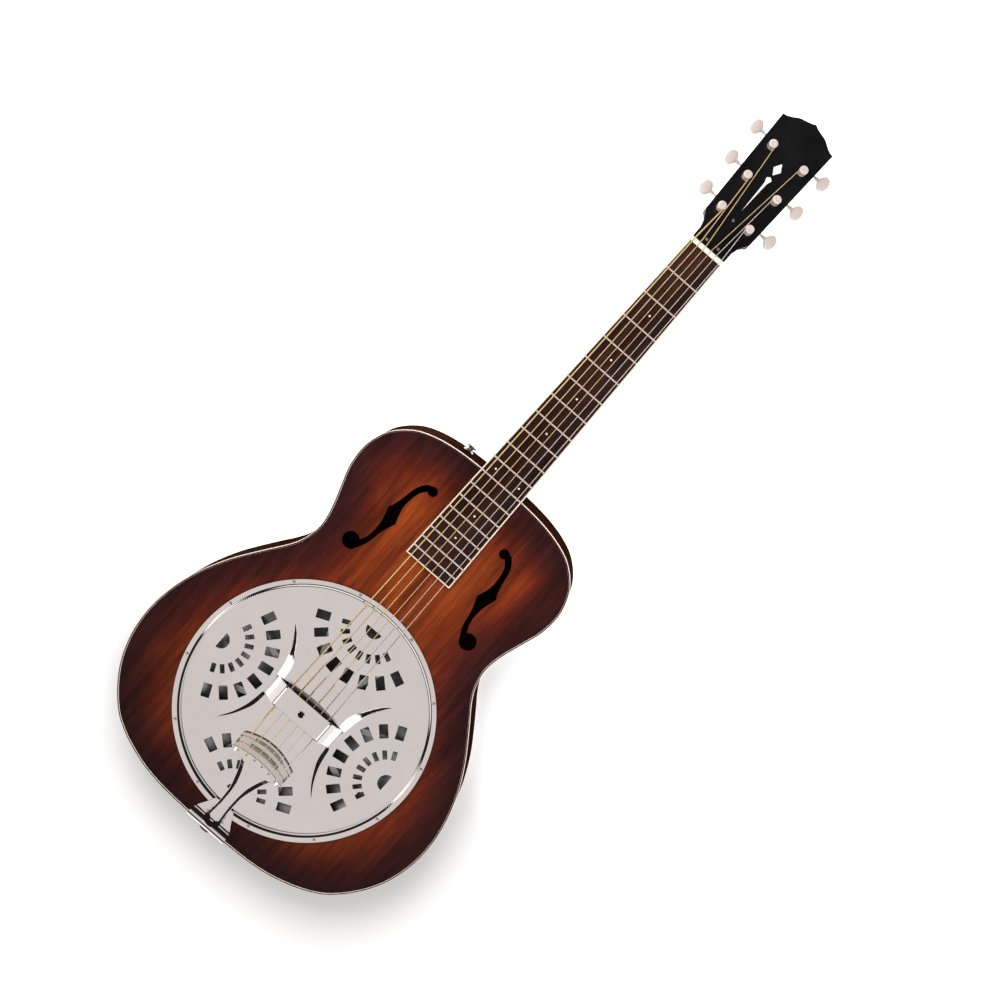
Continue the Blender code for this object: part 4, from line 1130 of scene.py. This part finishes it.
TAIL_FOOT = mm(
    (-133.3, 6.6, 4.5, 4.6, 7.7, 12.5), (-140, 6.2, 4.1, 5, 8, 15.8), (-145, 5.8, 3.8, 5.4, 8.4, 18.5),
    (-150, 5.4, 3.5, 5.8, 8.8, 21.5), (-154.5, 4.8, 3.2, 5.8, 8.8, 23.6), (-157, 3, 2.9, 5.6, 8.8, 24.1),
    (-161, 2.2, 2.2, 5.6, 9, 24.7), (-165, 1.8, 1.8, 5.6, 9, 25.5),
)
# The flange's fall, as shares of its width and drop
BEND = [(0.06, 0.04), (0.14, 0.13), (0.3, 0.3), (0.5, 0.5), (0.7, 0.7), (0.86, 0.87), (0.94, 0.96), (1, 1)]
NECK_Y = -0.0802  # where the seat ends and the neck begins
FLANGE_SLOPE = 0.543


def make_tailpiece():
    """Pressed plate: a raised middle with sloped flanges, a flat foot, and a hanger bent over the tail."""
    stations = np.vstack([spline(part, 4) for part in (TAIL_SEAT, TAIL_NECK, TAIL_FOOT)])
    lean = np.gradient(stations[:, 4], stations[:, 0])
    rings = []
    for (y, z, plate, flat, foot, wide), turn in zip(stations, lean):
        drop = max(z - plate, 0.0)
        if -0.155 < y < NECK_Y:
            drop = FLANGE_SLOPE * (foot - flat) / math.hypot(1, turn)
        half = [(0.0, 0.0), (flat * 0.5, 0.0), (flat * 0.9, 0.0), (flat, 0.02)]
        half += [(flat + (foot - flat) * s, d) for s, d in BEND]
        half += [(max(foot, wide - 0.0003) + 0.0001, 1.0), (max(foot, wide) + 0.0002, 1.0)]
        upper = [(x, TOP + z - drop * d) for x, d in half]
        lower = [(x, h - 0.001) for x, h in upper]
        right = upper + lower[::-1]
        ring = right + [(-x, h) for x, h in right[::-1] if x > 0]
        aside = TAIL_X if y < NECK_Y else 0.0
        rings.append([(x + aside, y, h) for x, h in ring])
    bend = mm(
        (-166.8, 1.3, 25.6), (-168, 0.4, 25.6), (-168.8, -1.2, 25.6), (-169.1, -4, 25.3),
        (-169.1, -20, 21.5), (-169.1, -40, 15), (-169.1, -56, 10),
    )
    last = np.array(rings[-1])
    for (y, z, wide), turn in zip(bend, np.radians([25, 55, 80, 90, 90, 90, 90])):
        out = Vector((0, -math.sin(turn), math.cos(turn)))
        ring = []
        for x, _, h in last:
            depth = 0.001 if h < last[:, 2].max() - 0.0005 else 0.0
            ring.append(Vector((TAIL_X + (x - TAIL_X) * wide / 0.0257, y, TOP + z)) - out * depth)
        rings.append(ring)
    tail = piece("tail_hanger", skin("tail", rings, sharp=40), "chrome", "tailpiece")
    moon = arc((TAIL_X, -0.1528), 0.01, -190, 10, 32) + arc((TAIL_X, -0.1512), 0.0044, 0, -180, 20)
    pin_hole = turned("pin_hole", [(0, 0), (0.0046, 0), (0.0046, 0.02), (0, 0.02)], 32)
    pin_hole.transform(shift(TAIL_X, -0.16, 0.044) @ Matrix.Rotation(math.pi / 2, 4, "X"))
    cut(tail, [slab("moon", [moon], TOP - 0.004, TOP + 0.012), pin_hole])

    pin = mm(
        (0, -16), (4.2, -16), (4.2, 3.7), (8.5, 3.7), (8.6, 4.6), (7, 5.6), (5.2, 6.8), (4.7, 8.5),
        (5, 10.2), (6.8, 11.3), (7.5, 12.6), (7.4, 14.2), (6.2, 15.6), (5, 15.8), (0, 15.8),
    )
    place = shift(TAIL_X, -0.166, 0.044) @ Matrix.Rotation(math.pi / 2, 4, "X")
    piece("tail_pin", turned("tail_pin", pin, 48, place), "black_metal", "end_pin")
    knob = mm(
        (0, 0), (6.1, 0), (6.2, 0.8), (5.2, 1.5), (3.9, 2.2), (3.4, 3.4), (3.6, 4.7), (5.1, 5.5),
        (6.5, 6.2), (6.7, 7.3), (6.1, 8.1), (5, 8.5), (0, 8.5),
    )
    place = shift(-0.0508, 0.3205, 0.043) @ Matrix.Rotation(-math.pi / 2, 4, "X")
    piece("neck_strap_button", turned("strap", knob, 48, place), "bar", "strap_button")


# Tuners

TEETH = 14
WORM_OFFSET, WORM_DEPTH = 0.0118, -0.02


def gear_mesh():
    """Worm wheel: teeth with sloped flanks, about Z."""
    loop = []
    for tooth in range(TEETH):
        for share, radius in ((0, 0.0062), (0.18, 0.0065), (0.34, 0.0077), (0.66, 0.0077), (0.82, 0.0065)):
            angle = TAU * (tooth + share) / TEETH
            loop.append((radius * math.cos(angle), radius * math.sin(angle)))
    return slab("gear", [loop, circle(0.0024, 24)], -0.0221, -0.0179)


def button_mesh():
    """Flat wing with a scalloped edge, pinched where it meets its collar, in the X-Y plane."""
    lower = [(-0.0026, 0.66), (-0.0024, 0.82), (-0.0018, 0.93), (-0.0006, 0.985)]
    rings = []
    for height, scale in lower + [(-height, scale) for height, scale in lower[::-1]]:
        ring = []
        for angle in np.arange(96) * TAU / 96:
            outward = math.cos(angle)
            lobe = 1 + 0.03 * math.cos(7 * angle) * smooth((outward + 0.55) / 0.5)
            pinch = 0.88 + 0.12 * math.cos(angle / 2) ** 2
            x = 0.025 + 0.0068 * scale * lobe * outward
            narrow = 1 - 0.15 * smooth((-outward - 0.2) / 0.8)
            ring.append((x, 0.0099 * scale * lobe * math.sin(angle) * pinch * narrow, height))
        rings.append(ring)
    return skin("wing", rings, sharp=60)


def shaft_mesh():
    """Worm and its shaft along +X, with the collar that carries the button."""
    profile = mm((0, -6.8), (1.8, -6.8), (2, -6.2), (2, -4.6), (2.4, -4.4))
    for i in range(5):
        x = -0.0043 + 0.00175 * i
        profile += [(0.0025, x), (0.0033, x + 0.0005), (0.0033, x + 0.0009), (0.0025, x + 0.0014)]
    profile += mm((2.4, 4.5), (2, 4.7), (1.8, 12), (1.4, 12.4), (1.4, 15), (1.9, 15.4))
    profile += mm((2.4, 16.2), (2.4, 17.6), (2, 18.4), (2.4, 19.5), (0, 20))
    return turned("shaft", profile, 32, Matrix.Rotation(math.pi / 2, 4, "Y"))


def post_mesh():
    """String post with its pin below and its cap above."""
    stem = mm(
        (0, -24.4), (1.2, -24.4), (2.4, -23.8), (2.6, -22.4), (3, -22.2), (3, 4.8), (2.8, 5.8), (2.75, 7),
        (2.8, 8.4), (3.6, 9.1), (4.5, 9.6), (4.7, 10.4), (4.7, 11.3), (4.4, 12), (3.6, 12.5), (2, 12.8),
        (1.5, 12.6), (1.2, 12.1), (0, 12),
    )
    return turned("stem", stem, 40)


def bracket_mesh():
    corner = 0.002
    loop = []
    for x, y, start in ((0.005, 0.02, 0), (-0.005, 0.02, 90), (-0.005, -0.009, 180), (0.005, -0.009, 270)):
        loop += arc((x, y), corner, start, start + 90, 6)
    base = slab("base", [loop, circle(0.0034, 32)], HEAD_BACK - 0.001, HEAD_BACK)
    lugs = []
    for side in (-1, 1):
        place = shift(side * 0.0056, WORM_OFFSET, WORM_DEPTH) @ Matrix.Rotation(math.pi / 2, 4, "Y")
        shape = arc((0, 0), 0.004, -90, 90, 16) + [(-0.0045, 0.004), (-0.0045, -0.004)]
        lug = slab("lug", [shape, circle(0.0022, 24)], -0.0006, 0.0006)
        lug.transform(place)
        lugs.append(lug)
    return joined("bracket", [base, *lugs])


def make_tuners():
    gear, wing, shaft, stem, bracket = gear_mesh(), button_mesh(), shaft_mesh(), post_mesh(), bracket_mesh()
    screw = screw_head(0.0016, 0.0008)
    bushing = mm(
        (3.2, -1.5), (3.9, -1.5), (3.9, 0), (4.6, 0.1), (4.6, 0.6), (4.2, 1.1), (3.6, 1.3), (3.2, 1.2),
    )
    for number in STRINGS:
        post = at_joint(f"post_{number}")
        worm = at_joint(f"tuner_{number}")
        if number > 3:
            worm = worm @ Matrix.Rotation(math.pi, 4, "Y")
        wheel = joined("post", [placed(stem, post), placed(gear, post)])
        body = f"post_{number}"
        shown = piece(f"post_with_wheel_{number}", wheel, "satin", f"string_post_{number}", body=body)
        rounded(shown, 0.00015, 1)
        across = worm.to_3x3() @ Vector((1, 0, 0))
        hole_at = post @ Vector((0, 0, COIL_HEIGHT))
        ends = [hole_at - across * 0.004, hole_at + across * 0.004]
        cut(shown, [tube("hole", ends, 0.0009, 12)])
        knob = joined("button", [placed(wing, worm), placed(shaft, worm)])
        piece(f"button_with_worm_{number}", knob, "satin", f"tuner_button_{number}", body=f"tuner_{number}")
        plate = piece(f"bracket_{number}", placed(bracket, post), "nickel", f"tuner_bracket_{number}")
        rounded(plate, 0.0002, 1)
        ring = turned("bushing", bushing, 48, post)
        piece(f"bushing_{number}", ring, "nickel", slot="nickel")
        spots = [(0.0, 0.019), (0.0, -0.008)]
        under = Matrix.Rotation(math.pi, 4, "X")
        heads = [placed(screw, post @ shift(x, y, HEAD_BACK - 0.001) @ under) for x, y in spots]
        piece(f"bracket_screws_{number}", joined("screws", heads), "nickel", slot="nickel")


make_fretboard()
make_head_trim()
make_strings()
make_string_bar()
make_tailpiece()
make_tuners()


class Studio(Nodes):
    """The room that the metal mirrors. Diffuse light from it is even, and the camera sees plain white."""

    def step(self, value, low, high):
        """0 below low and 1 above high."""
        values = {"Value": value, "From Min": low, "From Max": high}
        return self.add("MapRange", "Result", values, interpolation_type="SMOOTHSTEP")

    def below(self, value, low, high):
        return self.minus(1.0, self.step(value, low, high))

    def band(self, value, low, high, blur=0.012):
        up, down = (self.step(value, edge - blur, edge + blur) for edge in (low, high))
        return self.minus(up, down)

    def paint(self):
        ahead = self.add("TexCoord", "Generated", {})
        x, y, z = (self.add("SeparateXYZ", axis, {"Vector": ahead}) for axis in "XYZ")
        # Grey overhead, fading to black towards the head
        overhead = self.times(self.below(y, 0.16, 0.3), 0.71)
        ceiling = self.times(self.step(z, 0.85, 0.88), overhead)
        # White walls on both sides, which end towards the head and the tail
        toward_head = self.times(self.plus(y, 0.3), 6.0)
        reach = self.sum("MAXIMUM", self.times(y, -1.5), toward_head)
        beside = self.step(self.minus(self.sum("ABSOLUTE", x, 0.0), reach), -0.06, 0.06)
        walls = self.times(self.band(z, 0.56, 0.865), self.times(beside, 1.5))
        # White near the ground on the tail's side, and a low white wall beyond the tail
        ground = self.times(self.below(z, 0.29, 0.33), self.below(y, -0.05, 0.1))
        tail_wall = self.times(self.band(z, 0.31, 0.56), self.below(y, -0.7, -0.6))
        level = 0.015
        for light in (ceiling, walls, ground, tail_wall):
            level = self.plus(light, level)
        shown = self.add("LightPath", "Is Glossy Ray", {})
        seen = self.add("LightPath", "Is Camera Ray", {})
        plain = self.plus(0.55, self.times(seen, 0.45))
        rest = self.times(plain, self.minus(1.0, shown))
        background = self.tree.nodes["Background"].inputs
        self.tree.links.new(self.plus(self.times(level, shown), rest), background["Strength"])
        background["Color"].default_value = (1.0, 0.985, 0.975, 1)


def make_stage():
    """Pale floor, soft light and the camera."""
    data = bpy.data.meshes.new("floor")
    corners = [(x, y, -0.0004) for x, y in ((-6, -6), (6, -6), (6, 6), (-6, 6))]
    data.from_pydata(corners, [], [(0, 1, 2, 3)])
    floor = linked("floor", data)
    paint = Look("floor_paint", (0.9, 0.9, 0.9), Roughness=0.9, Specular_IOR_Level=0.0)
    # Painted light: the paper glows more with distance from a spot beyond the tail, so that it stays darker and
    # shows shadow only round that spot
    offset = paint.add("VectorMath", "Vector", {0: paint.spot, 1: (0.06, -0.22, 0)}, operation="SUBTRACT")
    away = paint.add("VectorMath", "Value", {0: offset}, operation="LENGTH")
    reach = {"Value": away, "From Min": 0.28, "From Max": 0.5, "To Min": 0.0, "To Max": 0.85}
    glow = paint.add("MapRange", "Result", reach)
    paint.tree.links.new(glow, paint.shader.inputs["Emission Strength"])
    paint.shader.inputs["Emission Color"].default_value = (1, 1, 1, 1)
    data.materials.append(paint.material)

    world = bpy.data.worlds.new("studio")
    bpy.context.scene.world = world
    Studio(world).paint()

    lights = ("key", (-0.8, 1.42, 2.4), 1.6, 62), ("fill", (1.2, -0.8, 2.6), 2.2, 26)
    for name, spot, size, power in lights:
        light = bpy.data.lights.new(name, "AREA")
        light.size = size
        light.energy = power
        lamp = linked(name, light)
        lamp.location = spot
        lamp.rotation_euler = (Vector((0, 0.15, 0.05)) - Vector(spot)).to_track_quat("-Z", "Y").to_euler()
        lamp.visible_glossy = False

    camera = bpy.data.cameras.new("camera")
    camera.lens, camera.sensor_width = 90.64, 36
    view = linked("camera", camera)
    ahead = Vector((0.006694, -0.108963, -0.994023)).normalized()
    right = Vector((0.752933, 0.654708, -0.066697))
    right = (right - ahead * right.dot(ahead)).normalized()
    view.matrix_world = Matrix((right, right.cross(ahead), -ahead)).transposed().to_4x4()
    view.matrix_world.translation = (-0.00883, 0.59701, 2.72039)
    bpy.context.scene.camera = view
    bpy.context.scene.view_settings.view_transform = "Standard"


make_stage()
